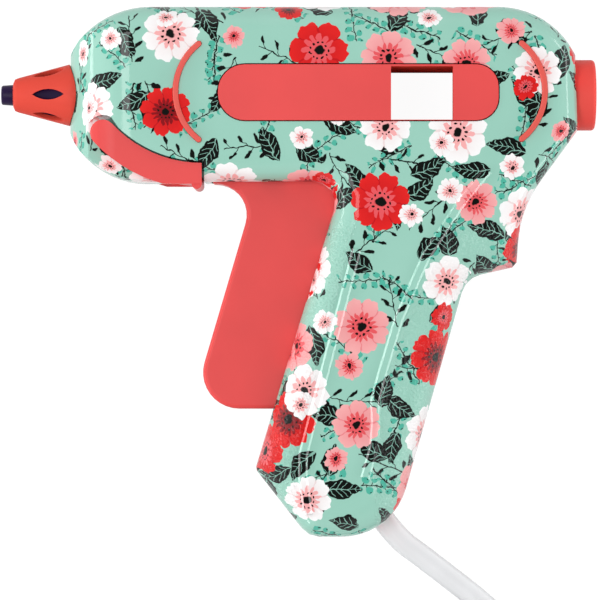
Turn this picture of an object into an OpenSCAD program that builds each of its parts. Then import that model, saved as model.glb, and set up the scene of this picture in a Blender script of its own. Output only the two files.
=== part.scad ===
/* [Overall size] */
// length from the nozzle tip to the back of the stick inlet
overall_length = 106.7; // [105:0.1:110]
// height from the top of the barrel to the bottom of the grip
overall_height = 94.6; // [93:0.1:97]
// thickness of the two shells together
shell_thickness = 23; // [22.6:0.1:24.5]
// wall of each shell
wall = 2; // [1.7:0.1:2.2]
// rounding of the shells' side edges
edge_round = 5; // [4:0.1:5.6]
// how far the arc trims stand out of the sides
trim_proud = 0.6; // [0.3:0.1:1]

/* [Barrel] */
// depth of the stick axis under the top of the barrel
axis_depth = 15.5; // [15.2:0.1:16]
// glue stick diameter
stick_diameter = 7.2; // [7:0.05:7.3]
// radial play of the stick in the inlet
stick_play = 0.15; // [0.1:0.01:0.25]
// nozzle tip ahead of the shells
nozzle_reach = 12.45; // [12:0.05:13.5]
// stick inlet behind the shells
inlet_reach = 3.65; // [3:0.05:5]
// outer diameter of the stick inlet
inlet_diameter = 12.7; // [12.4:0.1:13.2]
// diameter of the nozzle cover where it meets the shells
cover_diameter = 11.2; // [10.8:0.1:11.6]
// outlet of the nozzle
orifice_diameter = 1.8; // [1.2:0.1:2.2]

/* [Side trims] */
// length of the stadium inserts
insert_length = 49.8; // [49:0.1:50.4]
// height of the stadium inserts
insert_height = 9.95; // [9.7:0.05:10.1]
// width of the see-through window
window_width = 11; // [9:0.1:12]
// radius of the arc trims
arc_radius = 10.8; // [10.4:0.1:11]
// width of the arc trims
arc_width = 1; // [0.8:0.1:1.3]

/* [Grip] */
// lean of the front of the grip in degrees
grip_rake = 16.9; // [16:0.1:17.6]
// width of the grip where it meets the barrel
grip_top_width = 22; // [21.4:0.1:23]
// height of the slanted heel the tool rests on
heel_height = 12.1; // [11.1:0.1:12.6]

/* [Trigger and feed] */
// thickness of the trigger
trigger_width = 10.6; // [9.8:0.1:11]
// how far the trigger slides back
trigger_travel = 7.6; // [6:0.1:7.8]
// lower arm of the feed lever, pivot to link pin
lever_lower = 11; // [10.8:0.1:11.3]
// pin that the feed lever turns on
lever_pin_diameter = 3; // [2.6:0.1:3.2]
// gap between sliding faces
slide_gap = 0.3; // [0.2:0.05:0.35]

/* [Kickstand] */
// width of the kickstand arms
arm_width = 4.6; // [4.2:0.1:4.8]
// radius of the curve that the arms follow
arm_curve = 23.9; // [23.6:0.1:24.1]
// pivot stub diameter of the kickstand
stub_diameter = 4; // [3.4:0.1:4.2]

/* [Cord] */
// width of the flat twin cord
cord_width = 4.2; // [3.8:0.1:4.4]
// thickness of the flat twin cord
cord_thick = 2.5; // [2.2:0.1:2.7]

/* [Hidden] */
half_t = shell_thickness / 2;
mid_z = half_t + trim_proud;
tip_x = -overall_length / 2;
back_x = overall_length / 2;
front_x = tip_x + nozzle_reach;
rear_x = back_x - inlet_reach;
top_y = overall_height / 2;
bottom_y = -top_y;
axis_y = top_y - axis_depth;
belly_y = axis_y - 15.9;
crotch_x = 8;
crotch_y = belly_y + 0.3;
heel_y = bottom_y + heel_height;
heel_x = crotch_x - (crotch_y - heel_y) * tan(grip_rake);
toe_x = heel_x + heel_height * tan(38.1);
web_x = crotch_x + grip_top_width;
web_y = belly_y - 17;
grip_end_x = web_x - (web_y - bottom_y) * tan(15.93);
inner_half = half_t - wall;
nose_x = front_x + half_t - 0.1;
stick_r = stick_diameter / 2;
inlet_r = stick_r + stick_play;
fit = 0.05;
seat = 0.1;

body_corners = [
  [front_x, axis_y - 6.9, 0.6],
  [front_x + 4, belly_y, 14.5],
  [crotch_x, crotch_y, 4],
  [heel_x, heel_y, 0.8],
  [toe_x, bottom_y, 4],
  [grip_end_x, bottom_y, 11.9],
  [web_x, web_y, 4.5],
  [web_x + 9, web_y + 2, 1],
  [web_x + 9.7, web_y + 12.4, 22],
  [rear_x + 0.2, axis_y - 6.6, 1],
  [rear_x - 0.2, axis_y + 6.9, 0.6],
  [rear_x - 4.7, top_y, 16],
  [front_x + 5.7, top_y, 16.5],
  [front_x + 0.1, axis_y + 7.1, 0.6]
];
cap_center = [web_x - 5, axis_y - 6.8];

function xy(c) = [c[0], c[1]];
function unit(v) = v / norm(v);
function lefty(v) = [-v[1], v[0]];
function turned(v, a) = [v[0] * cos(a) - v[1] * sin(a), v[0] * sin(a) + v[1] * cos(a)];
function flat(l) = [for (a = l) for (b = a) b];
function before(c, i) = xy(c[(i + len(c) - 1) % len(c)]);
function after(c, i) = xy(c[(i + 1) % len(c)]);
function corner_turn(c, i) =
  let (u = unit(xy(c[i]) - before(c, i)), w = unit(after(c, i) - xy(c[i])))
  atan2(cross(u, w), u * w);

// corners moved inward, convex rounds smaller and concave rounds larger
function inset(c, d) = [
  for (i = [0 : len(c) - 1])
    let (
      u = unit(xy(c[i]) - before(c, i)),
      w = unit(after(c, i) - xy(c[i])),
      m = (lefty(u) + lefty(w)) / (1 + lefty(u) * lefty(w)),
      r = corner_turn(c, i) > 0 ? max(c[i][2] - d, 0.2) : max(c[i][2] + d, 0.2)
    )
    [c[i][0] + d * m[0], c[i][1] + d * m[1], r]
];

function tangent(c, i) = c[i][2] * tan(abs(corner_turn(c, i)) / 2);
function room(c, i) =
  let (n = len(c), p = (i + n - 1) % n, q = (i + 1) % n)
  min(
    1,
    0.97 * norm(xy(c[i]) - xy(c[p])) / (tangent(c, i) + tangent(c, p)),
    0.97 * norm(xy(c[i]) - xy(c[q])) / (tangent(c, i) + tangent(c, q))
  );

// steps for each corner, from the size of its round
function steps(c, fine) = [
  for (i = [0 : len(c) - 1])
    max(1, min(14, round(c[i][2] * abs(corner_turn(c, i)) / 57.3 / fine)))
];

// outline with its corners rounded
function rounded(c, n) = flat([
  for (i = [0 : len(c) - 1])
    let (
      a = corner_turn(c, i),
      s = sign(a),
      f = room(c, i),
      u = unit(xy(c[i]) - before(c, i)),
      start = xy(c[i]) - u * tangent(c, i) * f,
      r = c[i][2] * f,
      mid = start + s * r * lefty(u)
    )
    [for (k = [0 : n[i]]) mid - s * r * turned(lefty(u), a * k / n[i])]
]);

function outline(c, fine) = rounded(c, steps(c, fine));
body_steps = steps(body_corners, 1.7);
function body_ring(d) = rounded(inset(body_corners, d), body_steps);

function side_faces(rings, n) = [
  for (i = [0 : rings - 2])
    for (j = [0 : n - 1])
      for (k = [0, 1])
        let (a = i * n + j, b = i * n + (j + 1) % n)
        k == 0 ? [a, a + n, b + n] : [a, b + n, b]
];
function reversed(f) = [f[0], f[2], f[1]];

// stacked body outlines, each level an inset and a height, side s up or down
module body_loft(levels, s) {
  rings = [for (l = levels) [for (p = body_ring(l[0])) [p[0], p[1], s * l[1]]]];
  n = len(rings[0]);
  m = len(rings);
  low = [cap_center[0], cap_center[1], s * levels[0][1]];
  high = [cap_center[0], cap_center[1], s * levels[m - 1][1]];
  caps = [
    for (j = [0 : n - 1])
      for (k = [0, 1])
        k == 0
          ? [m * n, j, (j + 1) % n]
          : [m * n + 1, (m - 1) * n + (j + 1) % n, (m - 1) * n + j]
  ];
  faces = concat(side_faces(m, n), caps);
  polyhedron(
    points = concat(flat(rings), [low, high]),
    faces = s > 0 ? faces : [for (f = faces) reversed(f)],
    convexity = 8
  );
}

function edge_levels(d, r, low) = concat(
  [[d, low], [d, half_t - edge_round]],
  [for (a = [15 : 15 : 90]) [d + r * (1 - cos(a)), half_t - edge_round + r * sin(a)]]
);

// everything ahead of the round of the nose seen from above
module nose_cut(r) {
  arc = [for (a = [-90 : 6 : 90]) [nose_x - r * cos(a), r * sin(a)]];
  translate([0, top_y + 5, 0])
    rotate([90, 0, 0])
      linear_extrude(overall_height)
        polygon(concat(
          [[nose_x, -half_t - 6]],
          arc,
          [[nose_x, half_t + 6], [front_x - 20, half_t + 6], [front_x - 20, -half_t - 6]]
        ));
}

module slab(points, z0, z1, s) {
  translate([0, 0, min(s * z0, s * z1)])
    linear_extrude(abs(z1 - z0))
      polygon(points);
}

module box(x0, x1, y0, y1, z0, z1, s = 1) {
  translate([x0, y0, min(s * z0, s * z1)])
    cube([x1 - x0, y1 - y0, abs(z1 - z0)]);
}

module post(p, r, z0, z1, s = 1) {
  translate([p[0], p[1], min(s * z0, s * z1)])
    cylinder(r = r, h = abs(z1 - z0), $fn = 48);
}

module along_x(x0, x1, r, y, z = 0) {
  translate([x0, y, z])
    rotate([0, 90, 0])
      cylinder(r = r, h = x1 - x0, $fn = 64);
}

// turned piece on the stick axis, points are [radius, x]
module lathe(points) {
  translate([0, axis_y, 0])
    rotate([0, 90, 0])
      rotate_extrude($fn = 72)
        polygon(points);
}

module placed() {
  translate([0, 0, mid_z])
    children();
}

// band of a circle with round ends
function arc_band(c, r, w, a0, a1) = concat(
  [for (k = [0 : 14]) c + (r + w / 2) * turned([1, 0], a0 + (a1 - a0) * k / 14)],
  [for (k = [1 : 5]) c + r * turned([1, 0], a1) + w / 2 * turned([1, 0], a1 + 30 * k)],
  [for (k = [0 : 14]) c + (r - w / 2) * turned([1, 0], a1 + (a0 - a1) * k / 14)],
  [for (k = [1 : 5]) c + r * turned([1, 0], a0) + w / 2 * turned([1, 0], a0 + 180 + 30 * k)]
);

// smooth line through hand-chosen points
function mix3(p, i, t) =
  let (
    n = len(p) - 1,
    a = p[max(i - 1, 0)],
    b = p[i],
    c = p[min(i + 1, n)],
    d = p[min(i + 2, n)]
  )
  0.5 * (2 * b + (c - a) * t + (2 * a - 5 * b + 4 * c - d) * t * t
    + (3 * b - a - 3 * c + d) * t * t * t);
function smooth(p, k) = concat(
  [for (i = [0 : len(p) - 2]) for (j = [0 : k - 1]) mix3(p, i, j / k)],
  [p[len(p) - 1]]
);

// tube with a section of two radii along a line, tilted about it
function heading(p, i) = unit(p[min(i + 1, len(p) - 1)] - p[max(i - 1, 0)]);
function tube_ring(p, t, ra, rb, sides, tilt) =
  let (w = unit(cross([0, 0, 1], t)), u = cross(t, w))
  [
    for (k = [0 : sides - 1])
      let (
        a = 360 * k / sides,
        q = turned([ra * cos(a), rb * sin(a)], tilt)
      )
      p + w * q[0] + u * q[1]
  ];
function tube_rings(path, ra, rb, sides, tilts, first, last) = [
  for (i = [0 : len(path) - 1])
    let (t = i == 0 ? first : (i == len(path) - 1 ? last : heading(path, i)))
    tube_ring(path[i], t, ra, rb, sides, tilts[i])
];
module tube(rings) {
  n = len(rings[0]);
  m = len(rings);
  low = [[for (j = [0 : n - 1]) j]];
  high = [[for (j = [n - 1 : -1 : 0]) (m - 1) * n + j]];
  polyhedron(points = flat(rings), faces = concat(side_faces(m, n), low, high), convexity = 10);
}

// places shared by several pieces
insert_left = -14.2;
insert_right = insert_left + insert_length;
insert_inner = inner_half - 0.9;
window_left = 16.5;
window_right = window_left + window_width;
window_half = insert_height / 2 - 0.33;
window_low = axis_y - insert_height / 2 + 0.12;
tunnel_wall = 1.3;
insert_gap = 0.18;
far_window_extra = 1;
tunnel_top = axis_y + window_half + tunnel_wall;
arc_front = [front_x + 29.95, axis_y + 0.1];
arc_rear = [rear_x - 16.7, axis_y + 0.2];
arc_span = 52;
groove_depth = 1;

function stadium(grow) = outline(
  inset(
    [
      [insert_left, axis_y - insert_height / 2, insert_height / 2 - 0.1],
      [insert_right, axis_y - insert_height / 2, 4],
      [insert_right, axis_y + insert_height / 2, 4],
      [insert_left, axis_y + insert_height / 2, insert_height / 2 - 0.1]
    ],
    -grow
  ),
  1
);

trigger_half = trigger_width / 2;
slot_half = trigger_half + slide_gap;
trigger_top = crotch_y + 1;
trigger_bottom = belly_y - 40.4;
function grip_front(y) = crotch_x - (crotch_y - y) * tan(grip_rake);
cover_top = belly_y + wall + 0.4;

pivot = [2.5, belly_y + 4.6];
lever_pin_r = lever_pin_diameter / 2;
lever_upper = axis_y - pivot[1];
swing = atan(trigger_travel / 2 / lever_lower);
link = [pivot[0] - trigger_travel / 2, pivot[1] - lever_lower];
hub_r = lever_pin_r + 1.5;
arm_z0 = 6.1;
arm_z1 = insert_inner - 0.5;
feed_travel = trigger_travel * lever_upper / lever_lower;
carriage_pin_x = pivot[0] + feed_travel / 2;
carriage_x0 = carriage_pin_x - 6;
carriage_x1 = carriage_pin_x + 6;
rail_low = tunnel_top + 0.25;
rail_high = rail_low + 1.4;
head_low = rail_high + 0.2;
head_high = head_low + 1.4;
spring_y = belly_y - 20.9;
spring_seat_x = 22.5;
seat_wall = 1.6;
pocket_x = 4.6;

stand_center = [front_x + 23.8, axis_y + 9.1];
stand_pivot = stand_center + arm_curve * turned([1, 0], 222.6);
stub_r = stub_diameter / 2;
recess_z = half_t - 3.1;
arm_inner = recess_z + 0.15;
arm_outer = half_t - 0.6;
stand_gap = 0.3;
stand_end = stand_center[0] + 0.1;
stand_to_trigger = 1.8;
trigger_front = stand_end + stand_to_trigger;
web_r0 = arm_curve + 0.4;
web_r1 = arm_curve + 1.4;
web_edge = 14.1;

chamber_x0 = front_x + 5.5;
chamber_x1 = front_x + 21.4;
chamber_r = stick_r + 1.4;
spigot_r = stick_r + 0.9;
melt_r = stick_r + 0.05;
sleeve_x1 = front_x + 32.5;
sleeve_r = spigot_r + 1;
ring_r = chamber_r + 1.55;
front_ring_x = chamber_x0 + 0.8;
rear_ring_x = front_x + 19.3;
ring_w = 1.8;
heater_x0 = front_x + 9;
heater_x1 = front_x + 16;
slot_low = axis_y - stick_r - 4.8;
slot_high = axis_y - stick_r - 1.8;
tab_x = front_x + 18;

screw_a = [front_x + 20.9, top_y - 4.3];
screw_b = [rear_x - 10.2, top_y - 6.1];
screw_c = [web_x - 3, belly_y - 7.9];
screw_d = [toe_x - 0.4, bottom_y + 9.3];
screw_spots = [screw_a, screw_b, screw_c, screw_d];
screw_r = 1.1;
boss_r = 2.5;
head_r = 2.1;
head_floor = half_t - 5;

cord_exit = [grip_end_x - 1.85, bottom_y + 3.4];
exit_angle = -54;
exit_dir = turned([1, 0], exit_angle);
inner_cord_length = 10;
clamp_at = cord_exit - 6.2 * exit_dir;
clamp_screw_gap = cord_width / 2 + 2.2;

// one half of the case, s = 1 near side, s = -1 far side
module shell(s) {
  difference() {
    union() {
      difference() {
        body_loft(edge_levels(0, edge_round, 0), s);
        nose_cut(half_t);
        difference() {
          body_loft(edge_levels(wall, edge_round - wall, -1), s);
          nose_cut(inner_half);
          for (p = screw_spots)
            post(p, boss_r, 0, half_t, s);
          post(pivot, hub_r + 0.2, insert_inner - 0.2, half_t, s);
          box(sleeve_x1 - 3, 18, rail_low, rail_high, 2.2, half_t, s);
          box(sleeve_x1 - 2.8, sleeve_x1 - 1.4, axis_y - 4, rail_low + 0.4, 0, insert_inner - 0.2, s);
          box(front_ring_x, front_ring_x + ring_w, axis_y - 9, axis_y + 9, 0, half_t, s);
          box(rear_ring_x, rear_ring_x + ring_w, axis_y - 4, axis_y + 9, 0, half_t, s);
          box(rear_x - 3.5, rear_x, axis_y - 9, axis_y + 9, 0, half_t, s);
          box(spring_seat_x, spring_seat_x + seat_wall, spring_y - 3.2, spring_y + 3.2, 0, half_t, s);
          guides(s);
          slab(recess_outline(), recess_z - 1.8, half_t, s);
          if (s < 0)
            clamp_block();
        }
      }
      for (r = grip_ribs)
        grip_rib(r, s);
    }
    slab(trigger_opening(), -1, slot_half, s);
    slab(stadium(insert_gap), insert_inner - 1, half_t + 1, s);
    slab(stadium(1.05 + seat), 0, inner_half, s);
    slab(arc_band(arc_front, arc_radius, arc_width + 2 * fit, 180 - arc_span, 180 + arc_span),
      half_t - groove_depth, half_t + 1, s);
    slab(arc_band(arc_rear, arc_radius, arc_width + 2 * fit, -arc_span, arc_span),
      half_t - groove_depth, half_t + 1, s);
    slab(recess_outline(), recess_z, half_t + 2, s);
    slab(web_recess(), -1, half_t + 2, s);
    post(stand_pivot, stub_r + fit, 0, half_t, s);
    post(pivot, lever_pin_r + 0.02, 0, half_t - 1, s);
    post(pivot, hub_r + slide_gap, 0, insert_inner - 0.2, s);
    along_x(front_x - 1, front_x + 6, bush_r + fit, axis_y);
    along_x(rear_x - 5, rear_x + 2, inlet_diameter / 2 + seat, axis_y);
    along_x(chamber_x0, rear_ring_x + ring_w + 1, ring_r + fit, axis_y);
    along_x(sleeve_x1 - 4, sleeve_x1 + 1, sleeve_r + fit, axis_y);
    cord_hole();
    for (p = screw_spots) {
      post(p, screw_r + fit, -1, s > 0 ? inner_half - 1.5 : half_t + 1, s);
      if (s < 0)
        post(p, head_r + seat, head_floor, half_t + 1, s);
    }
    if (s < 0)
      for (k = [-1, 1])
        post(clamp_at + k * clamp_screw_gap * lefty(exit_dir), 0.9 + fit, 0, 6, s);
  }
}

module left_shell() {
  color([0.62, 0.82, 0.75])
    placed()
      shell(1);
}

module right_shell() {
  color([0.62, 0.82, 0.75])
    placed()
      shell(-1);
}

rib_proud = 0.3;
grip_ribs = [
  [[10.4, 3.9], [0.9, -32.5], [0.9, -37], [1.8, -43]],
  [[33.6, 18], [28.9, 12.2], [22.7, 2.7], [17.9, -8.3], [15, -17.8], [13.6, -23],
    [13.8, -26.5], [13.5, -31.1], [11.9, -36.6]]
];

// raised line on the grip with slanted sides, section points are [across, height over the side]
module grip_rib(p, s) {
  n = len(p) - 1;
  half = [[-0.85, -0.6], [0.85, -0.6], [0.85, 0], [0.5, rib_proud], [-0.5, rib_proud], [-0.85, 0]];
  section = s > 0 ? half : [for (i = [5 : -1 : 0]) half[i]];
  tube([
    for (i = [0 : n])
      let (w = lefty(unit(p[min(i + 1, n)] - p[max(i - 1, 0)])))
      [for (q = section) [p[i][0] + w[0] * q[0], p[i][1] + w[1] * q[0], s * (half_t + q[1])]]
  ]);
}

// front of the grip and underside of the barrel, where the trigger slides
function trigger_opening() = [
  [trigger_front - slide_gap, cover_top],
  [trigger_front - slide_gap, crotch_y - 6],
  [-30, trigger_bottom - slide_gap],
  [grip_front(trigger_bottom) + wall + 0.7, trigger_bottom - slide_gap],
  [grip_front(crotch_y - 3) + wall + 0.7, crotch_y - 3],
  [crotch_x + wall + 2, cover_top]
];

// lowered part of the nose that the kickstand folds into
function recess_outline() =
  let (r = arm_curve - arm_width / 2 - stand_gap, e = arm_width / 2 + 0.8)
  concat(
    [[stand_end + stand_gap, belly_y - 8]],
    [for (a = [270 : -4 : 226]) [min(stand_end + stand_gap, stand_center[0] + 1 + r * cos(a)) - (a == 270 ? 0 : 1),
      stand_center[1] + r * sin(a)]],
    [for (a = [60 : 15 : 195]) stand_pivot + e * turned([1, 0], a)],
    [[front_x - 4, stand_pivot[1] - 4], [front_x - 4, belly_y - 8]]
  );

// groove under the nose for the crossbar of the kickstand
function web_recess() =
  let (r = web_r0 - 0.25, e = web_edge - stand_gap)
  concat(
    [[stand_end + stand_gap, belly_y - 8], [stand_end + stand_gap, stand_center[1] - r]],
    [for (a = [269 : -3 : 257]) stand_center + r * turned([1, 0], a)],
    [for (a = [-31 : -8.2 : -72.1]) stand_pivot + e * turned([1, 0], a)]
  );

module guides(s) {
  for (y = [belly_y - 4.9, belly_y - 34.9])
    let (x = grip_front(y) + wall + 0.6)
      for (k = [0, 1])
        box(x, x + trigger_travel + 6.4, y + (k == 0 ? 1 + slide_gap : -2.4 - slide_gap),
          y + (k == 0 ? 2.4 + slide_gap : -1 - slide_gap), slot_half, half_t, s);
}

module cord_hole() {
  translate([cord_exit[0], cord_exit[1], 0])
    rotate([0, 0, exit_angle])
      translate([-4, -cord_width / 2 - 0.15, -cord_thick / 2 - 0.15])
        cube([12, cord_width + 0.3, cord_thick + 0.3]);
}

module clamp_block() {
  translate([clamp_at[0], clamp_at[1], -half_t])
    rotate([0, 0, exit_angle])
      translate([-1.7, -clamp_screw_gap - 1.8, 0])
        cube([3.4, 2 * clamp_screw_gap + 3.6, half_t - cord_thick / 2]);
}

// stadium plate in the side, with a roof and a floor over the stick behind its window
module insert(s) {
  sight_right = window_right + (s < 0 ? far_window_extra : 0);
  difference() {
    union() {
      slab(stadium(0), insert_inner, half_t + 0.15, s);
      slab(stadium(1), insert_inner, inner_half - fit, s);
    }
    box(window_left, sight_right, window_low, axis_y + window_half, insert_inner - 1, half_t + 2, s);
  }
  for (y = [window_low - tunnel_wall, axis_y + window_half])
    box(window_left - tunnel_wall, window_right + tunnel_wall, y, y + tunnel_wall, fit, insert_inner + 0.5, s);
}

module left_window_insert() {
  color([0.9, 0.33, 0.33])
    placed()
      insert(1);
}

module right_window_insert() {
  color([0.9, 0.33, 0.33])
    placed()
      insert(-1);
}

module arc_trim(c, a0, a1, s) {
  color([0.88, 0.38, 0.33])
    placed()
      slab(arc_band(c, arc_radius, arc_width, a0, a1), half_t - groove_depth, half_t + trim_proud, s);
}

module left_front_arc() {
  arc_trim(arc_front, 180 - arc_span, 180 + arc_span, 1);
}

module left_rear_arc() {
  arc_trim(arc_rear, -arc_span, arc_span, 1);
}

module right_front_arc() {
  arc_trim(arc_front, 180 - arc_span, 180 + arc_span, -1);
}

module right_rear_arc() {
  arc_trim(arc_rear, -arc_span, arc_span, -1);
}

// ring at the back where the glue stick goes in
module stick_inlet() {
  r = inlet_diameter / 2;
  color([0.9, 0.3, 0.26])
    placed()
      lathe([
        [inlet_r, window_right + tunnel_wall + 1.4],
        [inlet_r + 1.3, window_right + tunnel_wall + 1.4],
        [inlet_r + 1.3, rear_x - 5],
        [r + 0.6, rear_x - 5],
        [r + 0.6, rear_x - 3.6],
        [r, rear_x - 3.6],
        [r, back_x - 0.4],
        [r - 0.4, back_x],
        [inlet_r + 0.7, back_x],
        [inlet_r, back_x - 0.7]
      ]);
}

cover_x0 = tip_x + 2.15;
cover_front_r = 3.1;
cover_wall = 1.05;
cover_x1 = front_x + 1.9;
bush_r = 4.35;
neck_r = 3.2;

// soft cover over the nozzle with six slots
module nozzle_cover() {
  r = cover_diameter / 2;
  color([0.87, 0.3, 0.25])
    placed()
      difference() {
        lathe([
          [2.05, cover_x0],
          [cover_front_r - 0.9, cover_x0],
          [cover_front_r - 0.25, cover_x0 + 0.3],
          [cover_front_r, cover_x0 + 0.9],
          [r, front_x],
          [r, cover_x1],
          [r - cover_wall, cover_x1],
          [r - cover_wall, front_x - 0.5],
          [cover_front_r - cover_wall + 0.25, cover_x0 + 1],
          [2.05, cover_x0 + 0.8]
        ]);
        translate([nose_x, axis_y, 0])
          rotate([90, 0, 0])
            cylinder(r = half_t + 0.12, h = 40, center = true, $fn = 96);
        for (k = [0 : 5])
          translate([0, axis_y, 0])
            rotate([60 * k, 0, 0])
              translate([tip_x + 8.6, 0, 2.2])
                linear_extrude(8)
                  polygon(lens(2.9, 0.97));
      }
}

// pointed oval of half length a and half width b
function lens(a, b) =
  let (r = (a * a + b * b) / (2 * b), g = asin(a / r))
  concat(
    [for (k = [-4 : 3]) [r * sin(g * k / 4), r * cos(g * k / 4) - r + b]],
    [for (k = [4 : -1 : -3]) [r * sin(g * k / 4), r - b - r * cos(g * k / 4)]]
  );

// metal nozzle screwed into the melt chamber
module nozzle() {
  r = cover_diameter / 2 - cover_wall - 0.1;
  color([0.2, 0.15, 0.27])
    placed()
      lathe([
        [orifice_diameter / 2, tip_x],
        [1.55, tip_x],
        [1.75, tip_x + 0.2],
        [1.95, cover_x0 + 0.9],
        [cover_front_r - cover_wall + 0.15, cover_x0 + 1.15],
        [r, front_x - 0.6],
        [neck_r, front_x - 0.6],
        [neck_r, chamber_x0 - 0.05],
        [2.6, chamber_x0 - 0.05],
        [2.6, chamber_x0 + 2.1],
        [orifice_diameter / 2, chamber_x0 + 2.1]
      ]);
}

// heat-proof bush in the nose
module nose_bush() {
  color([0.55, 0.42, 0.3])
    placed()
      lathe([
        [neck_r + 0.1, front_x + 1.1],
        [bush_r, front_x + 1.1],
        [bush_r, front_x + 3.9],
        [bush_r + 1, front_x + 3.9],
        [bush_r + 1, front_x + 5.1],
        [neck_r + 0.1, front_x + 5.1]
      ]);
}

// cast chamber that melts the stick, with the heater pocket under it
module melt_chamber() {
  color([0.75, 0.76, 0.78])
    placed()
      difference() {
        union() {
          lathe([
            [1.2, chamber_x0],
            [chamber_r, chamber_x0],
            [chamber_r, chamber_x1],
            [spigot_r, chamber_x1],
            [spigot_r, chamber_x1 + 3],
            [1.2, chamber_x1 + 3]
          ]);
          box(heater_x0, heater_x1, slot_low - 1, axis_y - 1, -4.4, 4.4);
        }
        lathe([
          [0, chamber_x0 - 1],
          [2.65, chamber_x0 - 1],
          [2.65, chamber_x0 + 2.2],
          [1.3, chamber_x0 + 2.2],
          [1.3, chamber_x0 + 2.6],
          [melt_r, chamber_x0 + 4.6],
          [melt_r, chamber_x1 + 4],
          [0, chamber_x1 + 4]
        ]);
        box(heater_x0 + 1, heater_x1 + 1, slot_low, slot_high, -6, 6);
      }
}

module heat_ring(x) {
  color([0.85, 0.84, 0.8])
    placed()
      lathe([
        [chamber_r + fit, x],
        [ring_r, x],
        [ring_r, x + ring_w],
        [chamber_r + fit, x + ring_w]
      ]);
}

module front_heat_ring() {
  heat_ring(front_ring_x);
}

module rear_heat_ring() {
  heat_ring(rear_ring_x);
}

film = 0.3;
plate = 0.4;
stack_low = slot_low + 0.02;
ptc_low = stack_low + film + plate + 0.02;
ptc_high = slot_high - 0.02 - film - plate - 0.02;

module heater_chip() {
  color([0.25, 0.25, 0.27])
    placed()
      box(heater_x0 + 1.4, heater_x1 - 0.4, ptc_low + 0.01, ptc_high - 0.01, -3.5, 3.5);
}

module heater_plates() {
  color([0.72, 0.7, 0.62])
    placed() {
      box(heater_x0 + 1.4, heater_x1 - 0.3, ptc_low - plate, ptc_low, -3.6, 3.6);
      box(heater_x1 - 0.4, tab_x, ptc_low - plate, ptc_low, -3.6, -1.6);
      box(heater_x0 + 1.4, heater_x1 - 0.3, ptc_high, ptc_high + plate, -3.6, 3.6);
      box(heater_x1 - 0.4, tab_x, ptc_high, ptc_high + plate, 1.6, 3.6);
    }
}

module heater_films() {
  color([0.8, 0.55, 0.2])
    placed() {
      box(heater_x0 + 1.2, heater_x1, stack_low, stack_low + film, -4.2, 4.2);
      box(heater_x0 + 1.2, heater_x1, slot_high - 0.02 - film, slot_high - 0.02, -4.2, 4.2);
    }
}

// spring clip that holds the heater in its pocket
module heater_clip() {
  color([0.7, 0.7, 0.72])
    placed()
      difference() {
        box(heater_x0 + 2.6, heater_x0 + 5.4, slot_low - 1.45, slot_high + 0.6, -4.85, 4.85);
        box(heater_x0 + 2, heater_x0 + 6, slot_low - 1.05, slot_high + 2, -4.45, 4.45);
      }
}

// soft sleeve that seals the stick to the chamber
module stick_sleeve() {
  color([0.8, 0.2, 0.18])
    placed()
      lathe([
        [spigot_r + fit, chamber_x1 + 0.1],
        [sleeve_r, chamber_x1 + 0.1],
        [sleeve_r, sleeve_x1],
        [stick_r + 0.8, sleeve_x1],
        [stick_r + 0.1, sleeve_x1 - 1.5],
        [stick_r + 0.1, chamber_x1 + 3.1],
        [spigot_r + fit, chamber_x1 + 3.1]
      ]);
}

module sleeve_clip() {
  color([0.7, 0.7, 0.72])
    placed()
      translate([chamber_x1 + 1.6, axis_y, 0])
        rotate([0, 90, 0])
          rotate_extrude($fn = 72)
            translate([sleeve_r + 0.45, 0])
              circle(r = 0.4, $fn = 24);
}

// finger trigger, sliding into the front of the grip
module trigger() {
  depth = 8;
  corners = [
    [trigger_front, trigger_top, 0.2],
    [trigger_front, belly_y - 0.1, 0.1],
    [trigger_front + 7.9, belly_y - 0.1, 5.6],
    [trigger_front - 4, trigger_bottom, 6.5],
    [grip_front(trigger_bottom) + depth, trigger_bottom, 0.5],
    [grip_front(trigger_top) + depth, trigger_top, 0.5]
  ];
  color([0.9, 0.32, 0.32])
    placed()
      difference() {
        union() {
          slab(outline(corners, 1.2), -trigger_half, trigger_half, 1);
          box(trigger_front + 1.6, trigger_front + 5.6, trigger_top - 1, cover_top + 1.5,
            -trigger_half + 0.1, trigger_half - 0.1);
          box(trigger_front - 0.9 - trigger_travel, trigger_front + 5.6, cover_top, cover_top + 1.5,
            -trigger_half + 0.1, trigger_half - 0.1);
          for (y = [belly_y - 4.9, belly_y - 34.9])
            box(grip_front(y) + depth - 5.2, grip_front(y) + depth - 0.6, y - 1, y + 1,
              -inner_half + 1.9, inner_half - 1.9);
        }
        slab(
          [
            [link[0] - 3.9, link[1] - 3.2],
            [link[0] + 3.3, link[1] - 3.2],
            [pivot[0] + hub_r + 1.1, trigger_top + 1],
            [pivot[0] - trigger_travel - hub_r - 0.8, trigger_top + 1]
          ],
          -lever_half - 0.4, lever_half + 0.4, 1
        );
        post(link, link_r + 0.02, -trigger_half + 0.6, trigger_half - 0.6);
        along_x(pocket_x, 40, 3.2, spring_y);
      }
}

link_r = 1.2;
lever_half = 2.5;

module trigger_link_pin() {
  color([0.75, 0.75, 0.77])
    placed()
      post(link, link_r, -trigger_half + 0.65, trigger_half - 0.65);
}

// rocker that turns the backward pull into a forward feed
module feed_lever() {
  color([0.93, 0.93, 0.9])
    placed()
      difference() {
        union() {
          post(pivot, hub_r, -arm_z1, arm_z1);
          translate([pivot[0], pivot[1], 0])
            rotate([0, 0, -swing])
              lever_arms();
        }
        post(pivot, lever_pin_r + fit, -20, 20);
      }
}

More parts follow.
